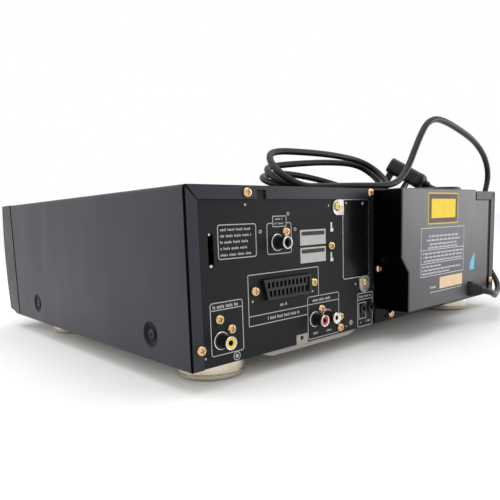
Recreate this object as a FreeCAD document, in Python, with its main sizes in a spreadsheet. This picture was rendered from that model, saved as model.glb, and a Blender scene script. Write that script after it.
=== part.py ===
import FreeCAD, Part
import math
import os
import Sketcher

# Laserdisc player, in millimetres.  +X is the right-hand side as a user sees the front, the
# front faces -Y, +Z is up, and the origin lies on the floor under the middle of the case.

SIZES = {
    # case
    "case_w": 420.0, "case_h": 113.7, "bonnet_d": 311.0, "front_gap": 3.0, "front_d": 30.4,
    "box_d": 25.0, "sheet_t": 1.2, "fit_gap": 0.3, "bend_r": 2.4,
    "top_flange": 8.7, "side_flange": 9.5, "flange_cut_l": 21.2, "flange_cut_r": 165.0,
    "mitre_gap": 0.8,
    # side screws and their pressed dishes
    "side_screw_back": 46.6, "side_screw_pitch": 209.4, "side_screw_up": 17.7,
    "dish_r": 8.7, "dish_deep": 1.6, "side_screw_r": 1.9, "side_head_r": 3.8, "side_head_t": 1.5,
    # feet
    "foot_h": 15.3, "foot_r": 25.2, "foot_wall": 2.0, "foot_in": 41.7, "foot_back": 37.0,
    "foot_front": 50.0, "pad_r": 19.0, "pad_t": 3.0,
    # chassis pan
    "pan_wall_h": 26.0, "pan_front_h": 19.0, "swell_x0": 42.0, "swell_x1": 151.0,
    "swell_slope": 11.5, "swell_deep": 3.6, "swell_len": 10.0,
    "tab_x0": 104.0, "tab_x1": 116.0, "tab_h": 7.0, "tab_hole_r": 1.7,
    "standoff_r": 3.5, "standoff_h": 5.0, "board_t": 1.6,
    # front panel
    "front_wall": 2.5, "bulge_r": 322.0, "bulge_up": 51.7, "toe_up": 4.2, "toe_mid_up": 2.2,
    "toe_in": 15.4, "toe_back": 21.4, "collar_in": 2.0, "collar_t": 2.0, "collar_d": 8.0,
    # tray door and tray
    "door_t": 6.0, "door_over": 6.4, "door_lo": 46.6, "door_hi": 77.4, "door_gap": 0.6,
    "disc_x": -40.0, "disc_up": 61.0, "tray_half": 156.0, "tray_under": 5.0, "tray_rim_t": 3.0,
    "tray_rim": 5.0, "recess_r": 151.5, "cd_recess_r": 60.8, "cd_recess_deep": 2.0,
    "tray_rear": 24.0, "arm_rear": 6.0, "arm_w": 16.0, "tray_slot_half": 24.0,
    "tray_travel": 298.0, "rack_in": 6.0, "rack_w": 4.0, "rack_h": 7.0,
    # gears
    "module": 1.5, "gear_teeth": 16.0, "pulley_teeth": 12.0, "backlash": 0.5, "tooth_up": 1.2,
    "tooth_down": 1.6, "gear_t": 6.0, "gear_back": 312.0, "axle_r": 1.5, "axle_fit": 0.05,
    "pulley_r": 16.0, "pulley_t": 6.0, "belt_groove": 1.5, "belt_r": 1.2, "post_r": 3.0,
    "motor_r": 12.0, "motor_h": 16.0, "motor_pulley_r": 4.0, "motor_dx": 28.0, "motor_dy": 12.0,
    # mechanism deck
    "deck_up": 22.0, "deck_t": 3.0, "deck_left": 205.0, "deck_right": 128.0, "deck_rear": 18.0,
    "deck_front": 304.0, "leg_r": 5.0, "tab_front": 326.0, "tab_rear": 268.0, "tab_right": 184.0,
    "guide_t": 4.0, "guide_front": 332.0, "shelf_t": 3.0, "shelf_w": 11.0, "run_gap": 0.3,
    # spindle, clamp and pickup
    "turntable_r": 22.0, "hub_r": 17.3, "hub_h": 1.8, "cd_hub_r": 7.4, "cd_hub_h": 0.8,
    "spindle_r": 2.0, "spindle_motor_r": 17.0, "spindle_motor_h": 20.0, "clamper_r": 18.0,
    "clamper_t": 5.0, "clamper_stem_r": 4.0, "clamp_gap": 3.0, "arm_half": 12.0, "arm_t": 3.0,
    "pivot_ahead": 56.0, "bridge_up": 85.0, "bridge_t": 3.0, "bridge_half": 14.0,
    "turn_back": 22.0, "turn_r": 26.0, "rail_half": 6.0, "rail_t": 4.0, "rail_inner": 20.0,
    "groove_deep": 2.5, "pin_r": 2.0, "carriage_half": 17.5, "carriage_len": 28.0,
    "carriage_top": 8.0, "carriage_low": 30.0, "pickup_travel": 118.0, "lens_r": 3.5,
    "lens_ahead": 7.0,
    # mechanism cover on the back
    "box_x0": 19.0, "box_x1": 8.0, "box_knee_hi": 57.0, "box_knee_lo": 44.0, "box_lo": 11.0,
    "box_hi": 112.8, "box_right": 109.0, "notch_x": 96.4, "notch_z": 25.2, "skirt_left": 20.5,
    "skirt_right": 112.0, "skirt_lo": 0.6,
    # connectors
    "scart_x": 126.2, "scart_z": 44.1, "scart_w": 47.4, "scart_h": 14.2, "scart_proud": 3.2,
    "scart_body": 7.2, "scart_corner": 3.8, "pin_slots": 10.0, "pin_pitch": 4.0,
    "scart_rim": 1.7, "scart_dip": 1.2,
    "video_x": 185.6, "audio_red_x": 95.6, "audio_white_x": 81.6, "jack_z": 16.0,
    "digital_x": 133.2, "digital_z": 75.6, "jack_ring_r": 4.15, "jack_ring_t": 0.85,
    "jack_long": 8.6, "jack_base_r": 5.6, "jack_base_t": 2.0, "jack_bore_r": 1.6,
    "control_in_x": 36.0, "control_out_x": 25.6, "control_z": 15.8, "control_r": 4.0,
    "control_bore_r": 1.8, "bushing_x": 101.0, "bushing_z": 18.2, "bushing_w": 8.0,
    "bushing_h": 13.0, "bushing_long": 16.0, "window_x0": 27.4, "window_x1": 61.2,
    "window_z0": 42.5, "window_z1": 104.7, "slot_x": 190.9, "slot_z0": 63.0, "slot_z1": 84.5,
    "slot_w": 4.3, "nick_x0": 144.0, "nick_x1": 152.3, "nick_top": 2.7, "head_r": 3.4, "head_t": 2.2, "shank_r": 1.5, "shank_long": 6.0,
    # front controls
    "window_left": 75.0, "window_right": 65.0, "window_lo": 12.0, "window_hi": 40.0,
    "button_gap": 0.35, "button_lip": 1.5, "button_travel": 1.5, "board_in": 13.5,
    # mains lead
    "cord_r": 3.0,
}


class Dim:
    """A length known both as a number and as an expression of the spreadsheet."""

    def __init__(self, number, text):
        self.number = float(number)
        self.text = text

    def join(self, other, sign, number):
        return Dim(number, f"({self.text} {sign} {as_dim(other).text})")

    def __add__(self, other):
        return self.join(other, "+", self.number + as_dim(other).number)

    def __sub__(self, other):
        return self.join(other, "-", self.number - as_dim(other).number)

    def __mul__(self, other):
        return self.join(other, "*", self.number * as_dim(other).number)

    def __truediv__(self, other):
        return self.join(other, "/", self.number / as_dim(other).number)

    def __radd__(self, other):
        return as_dim(other) + self

    def __rsub__(self, other):
        return as_dim(other) - self

    def __rmul__(self, other):
        return as_dim(other) * self

    def __neg__(self):
        return Dim(-self.number, f"(0 - {self.text})")


def as_dim(value):
    """A Dim from a Dim or a plain number."""
    return value if isinstance(value, Dim) else Dim(value, f"({float(value):.6f})")


def square_root(value):
    return Dim(math.sqrt(value.number), f"sqrt({value.text})")


doc = FreeCAD.newDocument("laserdisc_player")
sheet = doc.addObject("Spreadsheet::Sheet", "Sizes")
layout = doc.addObject("App::VarSet", "Layout")
SUBPARTS = {}


def fill_sheet():
    """Write every driving size into the sheet and return them by name."""
    dims = {}
    for row, (name, value) in enumerate(SIZES.items(), start=1):
        sheet.set(f"A{row}", name)
        sheet.set(f"B{row}", f"{value:g}")
        sheet.setAlias(f"B{row}", name)
        dims[name] = Dim(value, f"Sizes.{name}")
    doc.recompute()
    return dims


class Namespace:
    """Sizes and places, read as attributes."""

    def __init__(self, dims):
        self.__dict__.update(dims)

    def place(self, name, dim):
        """Keep a worked-out place under its own name in the Layout set."""
        layout.addProperty("App::PropertyFloat", name, "Places", "")
        layout.setExpression(name, as_dim(dim).text)
        setattr(self, name, Dim(as_dim(dim).number, f"Layout.{name}"))


S = Namespace(fill_sheet())


def place_all():
    """Work out the places that several sub-parts share."""
    S.place("half_w", S.case_w / 2)
    S.place("total_d", S.box_d + S.bonnet_d + S.front_gap + S.front_d)
    S.place("front_y", -(S.total_d / 2))
    S.place("box_y", S.total_d / 2)
    S.place("rear_y", S.box_y - S.box_d)
    S.place("bonnet_y", S.rear_y - S.bonnet_d)
    S.place("fascia_y", S.bonnet_y - S.front_gap)
    S.place("panel_y", S.rear_y - S.sheet_t)
    S.place("panel_in_y", S.panel_y - S.sheet_t)
    S.place("base_z", S.foot_h)
    S.place("top_z", S.foot_h + S.case_h)
    S.place("floor_z", S.base_z + S.sheet_t)
    S.place("pan_x", S.half_w - S.sheet_t - S.fit_gap)
    S.place("pan_front_y", S.bonnet_y + S.collar_d)
    S.place("board_z", S.floor_z + S.standoff_h)
    S.place("tray_front_y", S.front_y + S.door_t)
    S.place("spindle_y", S.tray_front_y + S.tray_rim + S.recess_r)
    S.place("disc_z", S.base_z + S.disc_up)
    S.place("tray_lo_z", S.disc_z - S.tray_under)
    S.place("tray_hi_z", S.disc_z + S.tray_rim_t)
    S.place("tray_x0", S.disc_x - S.tray_half)
    S.place("tray_x1", S.disc_x + S.tray_half)
    S.place("rack_x", S.tray_x1 - S.rack_in)
    S.place("rack_lo_z", S.tray_lo_z - S.rack_h)
    S.place("pitch_x", S.rack_x + S.tooth_up)
    S.place("gear_r", S.module * S.gear_teeth / 2)
    S.place("small_r", S.module * S.pulley_teeth / 2)
    S.place("tooth_pitch", S.module * math.pi)
    S.place("gear_x", S.pitch_x + S.gear_r)
    S.place("gear_y", S.rear_y - S.gear_back)
    S.place("small_x", S.gear_x + (S.gear_r + S.small_r) * math.sqrt(0.5))
    S.place("small_y", S.gear_y + (S.gear_r + S.small_r) * math.sqrt(0.5))
    S.place("motor_x", S.small_x + S.motor_dx)
    S.place("motor_y", S.small_y + S.motor_dy)
    S.place("gear_z", S.rack_lo_z + 0.5)
    S.place("deck_z", S.base_z + S.deck_up)
    S.place("deck_top_z", S.deck_z + S.deck_t)
    S.place("turn_y", S.rear_y - S.turn_back)
    S.place("door_lo_z", S.base_z + S.door_lo)
    S.place("door_hi_z", S.base_z + S.door_hi)
    S.place("bulge_y", S.front_y + S.bulge_r)
    S.place("bulge_z", S.base_z + S.bulge_up)
    S.place("board_y", S.front_y + S.board_in)


place_all()


# ---------------------------------------------------------------- helpers

PLANES = {"XY": "XY_Plane", "XZ": "XZ_Plane", "YZ": "YZ_Plane"}
AXES = {"X": FreeCAD.Vector(1, 0, 0), "Y": FreeCAD.Vector(0, 1, 0), "Z": FreeCAD.Vector(0, 0, 1)}


def bind(obj, name, value):
    obj.setExpression(name, as_dim(value).text)


def number(value):
    return as_dim(value).number


def block(x, y, z, name="block"):
    """A box between two places on each axis."""
    solid = doc.addObject("Part::Box", name)
    for (low, high), length, axis in ((x, "Length", "x"), (y, "Width", "y"), (z, "Height", "z")):
        bind(solid, length, as_dim(high) - low)
        bind(solid, f"Placement.Base.{axis}", low)
    return solid


def rod(axis, centre, radius, span, name="rod"):
    """A cylinder along an axis; centre holds its two places on the other axes, in X, Y, Z order."""
    solid = doc.addObject("Part::Cylinder", name)
    bind(solid, "Radius", radius)
    bind(solid, "Height", as_dim(span[1]) - span[0])
    solid.Placement.Rotation = FreeCAD.Rotation(AXES["Z"], AXES[axis])
    places = dict(zip([a for a in "XYZ" if a != axis], centre))
    places[axis] = span[0]
    for letter, value in places.items():
        bind(solid, f"Placement.Base.{letter.lower()}", value)
    return solid


def fuse(*solids):
    joined = doc.addObject("Part::MultiFuse", "joined")
    joined.Shapes = list(solids)
    joined.Refine = True
    return joined


def group(*solids):
    """Separate solids kept together in one node."""
    together = doc.addObject("Part::Compound", "group")
    together.Links = list(solids)
    return together


def cut(base, *tools):
    result = doc.addObject("Part::Cut", "cut")
    result.Base = base
    result.Tool = tools[0] if len(tools) == 1 else group(*tools)
    result.Refine = True
    return result


def rounded(base, radius, axis):
    """Round the straight edges of a solid that run along one axis."""
    doc.recompute()
    smooth = doc.addObject("Part::Fillet", "rounded")
    smooth.Base = base
    chosen = [i for i, edge in enumerate(base.Shape.Edges, start=1) if runs_along(edge, axis)]
    smooth.Edges = [(i, number(radius), number(radius)) for i in chosen]
    return smooth


def runs_along(edge, axis):
    if edge.Curve.TypeId != "Part::GeomLine":
        return False
    return abs(edge.Curve.Direction.normalize().dot(AXES[axis])) > 0.999


def keep(name, obj):
    """Give a finished object its name as a sub-part."""
    obj.Label = name
    SUBPARTS[name] = obj
    return obj


class Shaped:
    """A PartDesign body built from sketches on its own origin planes."""

    def __init__(self, name):
        self.body = doc.addObject("PartDesign::Body", f"{name}_body")
        self.name = name

    def sketch(self, plane, level):
        """A sketch at a place along the plane's own world axis."""
        sketch = self.body.newObject("Sketcher::SketchObject", "sketch")
        role = PLANES[plane]
        base = [f for f in self.body.Origin.OriginFeatures if f.Role == role][0]
        sketch.AttachmentSupport = [(base, "")]
        sketch.MapMode = "FlatFace"
        bind(sketch, "AttachmentOffset.Base.z", -as_dim(level) if plane == "XZ" else level)
        return sketch

    def feature(self, kind, plane, span, loops):
        """Pad or pocket some closed loops between two places on the plane's world axis."""
        adds = kind == "Pad"
        before = 0.0 if self.body.Tip is None else self.body.Tip.Shape.Volume
        far_end = adds == (plane == "XZ")
        sketch = self.sketch(plane, span[1] if far_end else span[0])
        for loop in loops:
            draw_circle(sketch, *loop[1:]) if loop[0] == "round" else draw_outline(sketch, loop)
        made = self.body.newObject(f"PartDesign::{kind}", kind.lower())
        made.Profile = sketch
        bind(made, "Length", as_dim(span[1]) - span[0])
        made.Reversed = False
        doc.recompute()
        change = made.Shape.Volume - before
        if (change > 0) != adds or abs(change) < 1e-6:
            raise RuntimeError(f"{self.name}: a {kind} at {number(span[0]):.1f} changed nothing")
        return made

    def pad(self, plane, span, *loops):
        return self.feature("Pad", plane, span, loops)

    def pocket(self, plane, span, *loops):
        return self.feature("Pocket", plane, span, loops)

    def smooth(self, radius, chosen, kind="Fillet"):
        """Fillet or chamfer the edges that a test picks from the body so far."""
        tip = self.body.Tip
        edges = [f"Edge{i}" for i, e in enumerate(tip.Shape.Edges, start=1) if chosen(e)]
        made = self.body.newObject(f"PartDesign::{kind}", kind.lower())
        made.Base = (tip, edges)
        bind(made, "Radius" if kind == "Fillet" else "Size", radius)
        doc.recompute()
        return made

    def ring(self, feature, axis, count):
        """Repeat a feature round one of the body's own axes."""
        made = self.body.newObject("PartDesign::PolarPattern", "ring")
        made.Originals = [feature]
        made.Axis = (axis, [""])
        made.Angle = 360
        made.Occurrences = count
        self.body.Tip = made
        doc.recompute()
        return made

    def row(self, feature, role, length, count, backward=False):
        """Repeat a feature along one of the body's own origin axes."""
        axis = [f for f in self.body.Origin.OriginFeatures if f.Role == role][0]
        made = self.body.newObject("PartDesign::LinearPattern", "row")
        made.Originals = [feature]
        made.Direction = (axis, [""])
        made.Reversed = backward
        bind(made, "Length", length)
        made.Occurrences = count
        self.body.Tip = made
        doc.recompute()
        return made

    def keep(self):
        return keep(self.name, self.body)


def draw_outline(sketch, corners):
    """Draw and fix a closed outline.

    A corner is (x, y).  A third item, (radius, x, y), makes the side that leaves the corner an
    arc of that radius through the place (x, y).
    """
    points = [FreeCAD.Vector(number(c[0]), number(c[1]), 0) for c in corners]
    sides = []
    for i, corner in enumerate(corners):
        start, end = points[i], points[(i + 1) % len(points)]
        if len(corner) == 3:
            middle = FreeCAD.Vector(number(corner[2][1]), number(corner[2][2]), 0)
            side = sketch.addGeometry(Part.Arc(start, middle, end), False)
        else:
            side = sketch.addGeometry(Part.LineSegment(start, end), False)
        forward = sketch.getPoint(side, 1).distanceToPoint(start) < 1e-4
        sides.append((side, 1, 2) if forward else (side, 2, 1))
    for i, (side, _, end) in enumerate(sides):
        following = sides[(i + 1) % len(sides)]
        sketch.addConstraint(Sketcher.Constraint("Coincident", side, end, following[0], following[1]))
    for corner, (side, start, _) in zip(corners, sides):
        fix_point(sketch, side, start, corner[0], corner[1])
        if len(corner) == 3:
            fixed = Sketcher.Constraint("Radius", side, number(corner[2][0]))
            sketch.setExpression(f"Constraints[{sketch.addConstraint(fixed)}]",
                                 as_dim(corner[2][0]).text)


def draw_circle(sketch, x, y, radius):
    centre = FreeCAD.Vector(number(x), number(y), 0)
    circle = sketch.addGeometry(Part.Circle(centre, AXES["Z"], number(radius)), False)
    fix_point(sketch, circle, 3, x, y)
    fixed = sketch.addConstraint(Sketcher.Constraint("Radius", circle, number(radius)))
    sketch.setExpression(f"Constraints[{fixed}]", as_dim(radius).text)


def fix_point(sketch, side, end, x, y):
    for kind, value in (("DistanceX", x), ("DistanceY", y)):
        fixed = sketch.addConstraint(Sketcher.Constraint(kind, -1, 1, side, end, number(value)))
        sketch.setExpression(f"Constraints[{fixed}]", as_dim(value).text)


def oblong(x0, x1, y0, y1):
    return [(x0, y0), (x1, y0), (x1, y1), (x0, y1)]


def hole(x, y, radius):
    return ("round", x, y, radius)


def front_at(z, inset=0):
    """The place of the bulged front face, or of a face inside it, at one height."""
    drop = as_dim(z) - S.bulge_z
    return S.bulge_y - square_root((S.bulge_r - inset) * (S.bulge_r - inset) - drop * drop)


def front_arc(inset=0):
    """The arc of the bulged front face, for a side of an outline in the YZ plane."""
    return (S.bulge_r - inset, S.front_y + inset, S.bulge_z)


# ---------------------------------------------------------------- casing

BUTTONS = {
    "power_button": (-186.0, 26.0, 17.0, 11.0),
    "open_close_button": (166.0, 62.0, 38.0, 9.0),
    "skip_back_button": (96.0, 31.0, 19.0, 10.0),
    "skip_forward_button": (119.0, 31.0, 19.0, 10.0),
    "play_button": (142.0, 31.0, 19.0, 10.0),
    "pause_button": (165.0, 31.0, 19.0, 10.0),
    "stop_button": (188.0, 31.0, 19.0, 10.0),
    "side_select_button": (188.0, 14.5, 19.0, 7.0),
}
REAR_SCREWS = [(160.9, 109.0), (26.8, 110.2), (202.6, 12.9), (-202.6, 15.7)]
PANEL_SCREWS = [(76.0, 69.9), (66.0, 13.8), (66.0, 4.9)]
SKIRT_SCREWS = [(15.2, 47.0), (-3.4, 5.6)]


def jack_screw_places():
    return [(S.video_x + 1.2, 29.8), (S.video_x - 8.4, 22.3), (S.scart_x - 29.5, 44.1),
            (S.scart_x + 29.5, 44.1), (88.4, 22.9), (S.digital_x - 8.0, 82.5)]


def up(height):
    return S.base_z + height


def screw_holes(places, radius):
    return [hole(x, up(z), radius) for x, z in places]


def bonnet_cover():
    """The folded steel cover: two sides, the top, and flanges that lap the rear panel."""
    cover = Shaped("bonnet_cover")
    outer, inner = S.half_w, S.half_w - S.sheet_t
    ceiling = S.top_z - S.sheet_t
    cover.pad("XZ", (S.bonnet_y, S.rear_y),
              [(-outer, S.base_z), (-outer, S.top_z), (outer, S.top_z), (outer, S.base_z),
               (inner, S.base_z), (inner, ceiling), (-inner, ceiling), (-inner, S.base_z)])
    lip_x, lip_z = S.half_w - S.side_flange, S.top_z - S.top_flange
    cut_x0, cut_x1 = S.flange_cut_l, -S.flange_cut_r
    cover.pad("XZ", (S.panel_y, S.rear_y),
              [(inner, S.base_z), (inner, ceiling), (cut_x0, ceiling), (cut_x0, lip_z),
               (lip_x, lip_z), (lip_x, S.base_z)])
    cover.pad("XZ", (S.panel_y, S.rear_y),
              [(-inner, S.base_z), (-inner, ceiling), (cut_x1, ceiling), (cut_x1, lip_z),
               (-lip_x, lip_z), (-lip_x, S.base_z)])
    for side in (1, -1):
        cover.pocket("XZ", (S.panel_y, S.rear_y),
                     [(side * (lip_x + S.mitre_gap / 2), lip_z), (side * outer, S.top_z - S.mitre_gap / 2),
                      (side * outer, S.top_z + 1), (side * (outer - S.mitre_gap), S.top_z + 1),
                      (side * (lip_x - S.mitre_gap / 2), lip_z)])
    cover.pocket("XZ", (S.panel_y, S.rear_y), *screw_holes(REAR_SCREWS, S.shank_r + 0.2))
    cover.pocket("XZ", (S.panel_y, S.rear_y),
                 oblong(S.nick_x0, S.nick_x1, lip_z - 0.5, S.top_z - S.nick_top))
    rear_hole = S.rear_y - S.side_screw_back
    spots = [(y, up(S.side_screw_up)) for y in (rear_hole, rear_hole - S.side_screw_pitch)]
    dish_in = S.sheet_t + S.dish_deep
    for low, high, face in ((S.half_w - dish_in, S.half_w - S.sheet_t, 1),
                            (-S.half_w + S.sheet_t, -S.half_w + dish_in, -1)):
        cover.pad("YZ", (low, high), *[hole(y, z, S.dish_r + S.sheet_t) for y, z in spots])
        cover.pocket("YZ", (face * S.half_w - S.dish_deep, face * S.half_w + S.dish_deep),
                     *[hole(y, z, S.dish_r) for y, z in spots])
        cover.pocket("YZ", (low - 1, high + 1), *[hole(y, z, S.side_screw_r + 0.2) for y, z in spots])
    cover.smooth(S.bend_r, lambda e: runs_along(e, "Y") and e.BoundBox.ZMin > number(S.top_z) - 0.01
                 and e.Length > number(S.bonnet_d) - 5)
    cover.keep()


def chassis_base():
    """The steel pan: floor, low walls, a pressed swelling at the back and board stand-offs."""
    pan = Shaped("chassis_base")
    rear = S.panel_in_y
    pan.pad("XY", (S.base_z, S.floor_z),
            oblong(-S.pan_x, S.pan_x, S.fascia_y + S.fit_gap, rear))
    for x0, x1 in ((-S.pan_x, -S.pan_x + S.sheet_t), (S.pan_x - S.sheet_t, S.pan_x)):
        pan.pad("XY", (S.floor_z, up(S.pan_wall_h)), oblong(x0, x1, S.pan_front_y, rear))
    pan.pad("XY", (S.floor_z, up(S.pan_front_h)),
            oblong(-S.pan_x, S.pan_x, S.pan_front_y, S.pan_front_y + S.sheet_t))
    low = S.base_z - S.swell_deep
    x0, x1, slope = S.swell_x0, S.swell_x1, S.swell_slope
    pan.pad("XZ", (rear - S.swell_len, rear),
            [(x0, S.base_z), (x1, S.base_z), (x1 - slope, low), (x0 + slope, low)])
    pan.pocket("XZ", (rear - S.swell_len + S.sheet_t, rear - S.sheet_t),
               [(x0 + S.sheet_t, S.floor_z), (x1 - S.sheet_t, S.floor_z),
                (x1 - slope, low + S.sheet_t), (x0 + slope, low + S.sheet_t)])
    pan.pad("XZ", (rear - 0.01, S.panel_y), oblong(S.tab_x0, S.tab_x1, S.base_z, up(S.tab_h)))
    pan.pocket("XZ", (rear - 0.01, S.panel_y),
               hole((S.tab_x0 + S.tab_x1) / 2, up(S.tab_h - 2.8), S.tab_hole_r))
    pan.pad("XY", (S.floor_z, S.board_z), *[hole(x, y, S.standoff_r) for x, y in standoffs()])
    for side in (1, -1):
        level = side * S.pan_x
        pan.pocket("YZ", (level - 2 * S.sheet_t, level + 2 * S.sheet_t),
                   *[hole(y, up(S.side_screw_up), S.dish_r + 2 * S.sheet_t + S.fit_gap)
                     for y in (S.rear_y - S.side_screw_back,
                               S.rear_y - S.side_screw_back - S.side_screw_pitch)])
    pan.keep()


def back(distance):
    """A place this far in front of the back of the case."""
    return S.rear_y - distance


def standoffs():
    main = [(x, back(y)) for x in (-180.0, 84.0) for y in (280.0, 90.0)]
    rear = [(x, back(y)) for x in (32.0, 197.0) for y in (56.0, 16.0)]
    power = [(x, back(y)) for x in (137.0, 197.0) for y in (187.0, 81.0)]
    return main + rear + power


def front_panel():
    """The moulded front: a bulged face, a sloped toe, and openings for tray, window and keys."""
    face = Shaped("front_panel")
    toe = [(front_at(up(S.toe_up)), up(S.toe_up)),
           (S.front_y + S.toe_in, up(S.toe_mid_up)),
           (S.front_y + S.toe_back, S.base_z),
           (S.fascia_y, S.base_z), (S.fascia_y, S.top_z)]
    face.pad("YZ", (-S.half_w, S.half_w),
             [(front_at(S.top_z), S.top_z, front_arc())] + toe)
    lid, sill = S.top_z - S.front_wall, up(S.toe_up)
    inside = S.half_w - S.front_wall
    face.pocket("YZ", (-inside, inside),
                [(front_at(lid, S.front_wall), lid, front_arc(S.front_wall)),
                 (front_at(sill, S.front_wall), sill), (S.fascia_y + 1, sill), (S.fascia_y + 1, lid)])
    out_x, out_z = S.half_w - S.collar_in, S.top_z - S.collar_in
    in_x, in_z = out_x - S.collar_t, out_z - S.collar_t
    face.pad("XZ", (S.fascia_y - 2, S.fascia_y + S.collar_d),
             [(-out_x, up(S.toe_up)), (-out_x, out_z), (out_x, out_z), (out_x, up(S.toe_up)),
              (in_x, up(S.toe_up)), (in_x, in_z), (-in_x, in_z), (-in_x, up(S.toe_up))])
    near = (S.front_y - 1, S.front_y + S.front_wall + 4)
    gap = S.door_gap
    face.pocket("XZ", near,
                oblong(S.tray_x0 - S.door_over - gap, S.tray_x1 + S.door_over + gap,
                       S.door_lo_z - gap, S.door_hi_z + gap))
    face.pocket("XZ", near, oblong(-S.window_left, S.window_right, up(S.window_lo), up(S.window_hi)))
    gap = S.button_gap
    face.pocket("XZ", near,
                *[oblong(x - w / 2 - gap, x + w / 2 + gap, up(z - tall / 2) - gap, up(z + tall / 2) + gap)
                  for x, z, w, tall in BUTTONS.values()])
    face.smooth(1.8, lambda e: runs_along(e, "X") and e.BoundBox.ZMin > number(S.top_z) - 0.01
                and e.BoundBox.YMax < number(S.fascia_y) - 5)
    face.keep()


def tray_door():
    """The door on the front of the tray, with the same bulge as the front panel."""
    door = Shaped("tray_door")
    back_y = S.front_y + S.door_t
    door.pad("YZ", (S.tray_x0 - S.door_over, S.tray_x1 + S.door_over),
             [(front_at(S.door_hi_z), S.door_hi_z, front_arc()),
              (front_at(S.door_lo_z), S.door_lo_z), (back_y, S.door_lo_z), (back_y, S.door_hi_z)])
    door.smooth(0.6, lambda e: runs_along(e, "X") and e.BoundBox.YMax < number(back_y) - 0.5)
    door.keep()


def rear_panel():
    """The steel rear panel with its cut-outs."""
    panel = Shaped("rear_panel")
    edge = S.half_w - S.sheet_t - S.fit_gap
    panel.pad("XZ", (S.panel_in_y, S.panel_y),
              oblong(-edge, edge, S.base_z, S.top_z - S.sheet_t - S.fit_gap))
    through = (S.panel_in_y - 1, S.panel_y + 1)
    panel.pocket("XZ", through, oblong(S.window_x0, S.window_x1, up(S.window_z0), up(S.window_z1)))
    panel.pocket("XZ", through, oblong(-S.notch_x + 2, S.box_x1 - 2, up(S.box_lo + 3), up(100)))
    panel.pocket("XZ", through, scart_outline(S.fit_gap))
    panel.pocket("XZ", through,
                 oblong(S.tab_x0 - S.fit_gap, S.tab_x1 + S.fit_gap, S.base_z - 1, up(S.tab_h + 0.4)))
    radius = S.slot_w / 2
    x0, x1 = S.slot_x - radius, S.slot_x + radius
    z0, z1 = up(S.slot_z0) + radius, up(S.slot_z1) - radius
    panel.pocket("XZ", through, oblong(x0, x1, z0, z1))
    panel.pocket("XZ", through, hole(S.slot_x, z0, radius), hole(S.slot_x, z1, radius))
    panel.pocket("XZ", through,
                 *[hole(x, z, S.jack_base_r + 0.1) for x, z in phono_places()],
                 *[hole(x, z, S.control_r + 0.1) for x, z in control_places()],
                 hole(-S.bushing_x, up(S.bushing_z), 3.9))
    panel.pocket("XZ", through,
                 *screw_holes(REAR_SCREWS + PANEL_SCREWS + SKIRT_SCREWS + jack_screw_places(),
                              S.shank_r + 0.15))
    panel.keep()


def box_outline(inset):
    """The mechanism cover's outline seen from behind, moved in by a distance."""
    slant = inset * 0.4
    return [(S.box_x0 - inset, up(S.box_hi) - inset),
            (S.box_x0 - inset, up(S.box_knee_hi) + slant),
            (S.box_x1 - inset, up(S.box_knee_lo) + slant),
            (S.box_x1 - inset, up(S.box_lo) + inset),
            (-S.notch_x + inset, up(S.box_lo) + inset),
            (-S.notch_x + inset, up(S.notch_z) + inset),
            (-S.box_right + 2.6 + inset, up(S.notch_z) + inset),
            (-S.box_right + inset, up(S.box_hi) - inset)]


def mechanism_rear_cover():
    """The deep cover behind the mechanism: a folded box with a flat skirt."""
    cover = Shaped("mechanism_rear_cover")
    skirt_top = S.top_z - S.sheet_t - S.fit_gap
    cover.pad("XZ", (S.panel_y, S.panel_y + S.sheet_t),
              [(S.skirt_left, up(S.skirt_lo)), (S.skirt_left, up(S.box_knee_hi - 1)),
               (S.box_x0 + 1, up(S.box_knee_hi)), (S.box_x0 + 1, skirt_top),
               (-S.skirt_right, skirt_top), (-S.skirt_right, up(S.skirt_lo))])
    cover.pad("XZ", (S.rear_y, S.box_y), box_outline(0))
    cover.pocket("XZ", (S.panel_y - 1, S.box_y - S.sheet_t), box_outline(S.sheet_t))
    cover.pocket("XZ", (S.panel_y - 1, S.rear_y + 1),
                 hole(-S.bushing_x, up(S.bushing_z), 3.9),
                 *screw_holes(SKIRT_SCREWS, S.shank_r + 0.2),
                 [(3.5, up(3.6)), (7.5, up(3.6)), (7.5, up(5.8)), (3.5, up(5.8))])
    face_y = number(S.box_y)
    cover.smooth(1.0, lambda e: e.BoundBox.YMin > face_y - 0.01)
    cover.keep()


def window_parts():
    """The black plate behind the window in the rear panel, and the zinc clips that hold it."""
    margin = 3.0
    plate_y = (S.panel_in_y - 1.5, S.panel_in_y)
    keep("blanking_plate",
         block((S.window_x0 - margin, S.window_x1 + margin), plate_y,
               (up(S.window_z0) - margin, up(S.window_z1) + margin)))
    skin = (S.panel_y, S.panel_y + 0.8)
    bored = (S.panel_y - 1, S.panel_y + 2)
    upper_z, lower_z = up((93.0 + S.window_z1.number) / 2), up(S.window_z0 - 6.4)
    upper = cut(fuse(block((S.window_x1 - 0.4, S.window_x1 + 7.0), skin, (up(93), up(S.window_z1))),
                     rod("Y", (S.window_x1 + 6.9, upper_z), (S.window_z1.number - 93.0) / 2, skin)),
                rod("Y", (S.window_x1 + 7.4, up(99.4)), 1.6, bored))
    lower = cut(fuse(block((S.window_x0 - 0.3, S.window_x0 + 13.5), skin, (lower_z, up(S.window_z0 - 0.8))),
                     rod("Y", (S.window_x0 + 6.6, lower_z), 6.9, skin)),
                rod("Y", (S.window_x0 + 6.6, up(37.4)), 1.6, bored))
    keep("plate_clips", group(upper, lower))


def pan_head(x, z, face, length):
    """A pan-head screw pointing forward, its head standing on a face."""
    head = rod("Y", (x, up(z)), S.head_r, (face, face + S.head_t))
    shank = rod("Y", (x, up(z)), S.shank_r, (face - length, face + 0.2))
    return fuse(head, shank)


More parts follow.
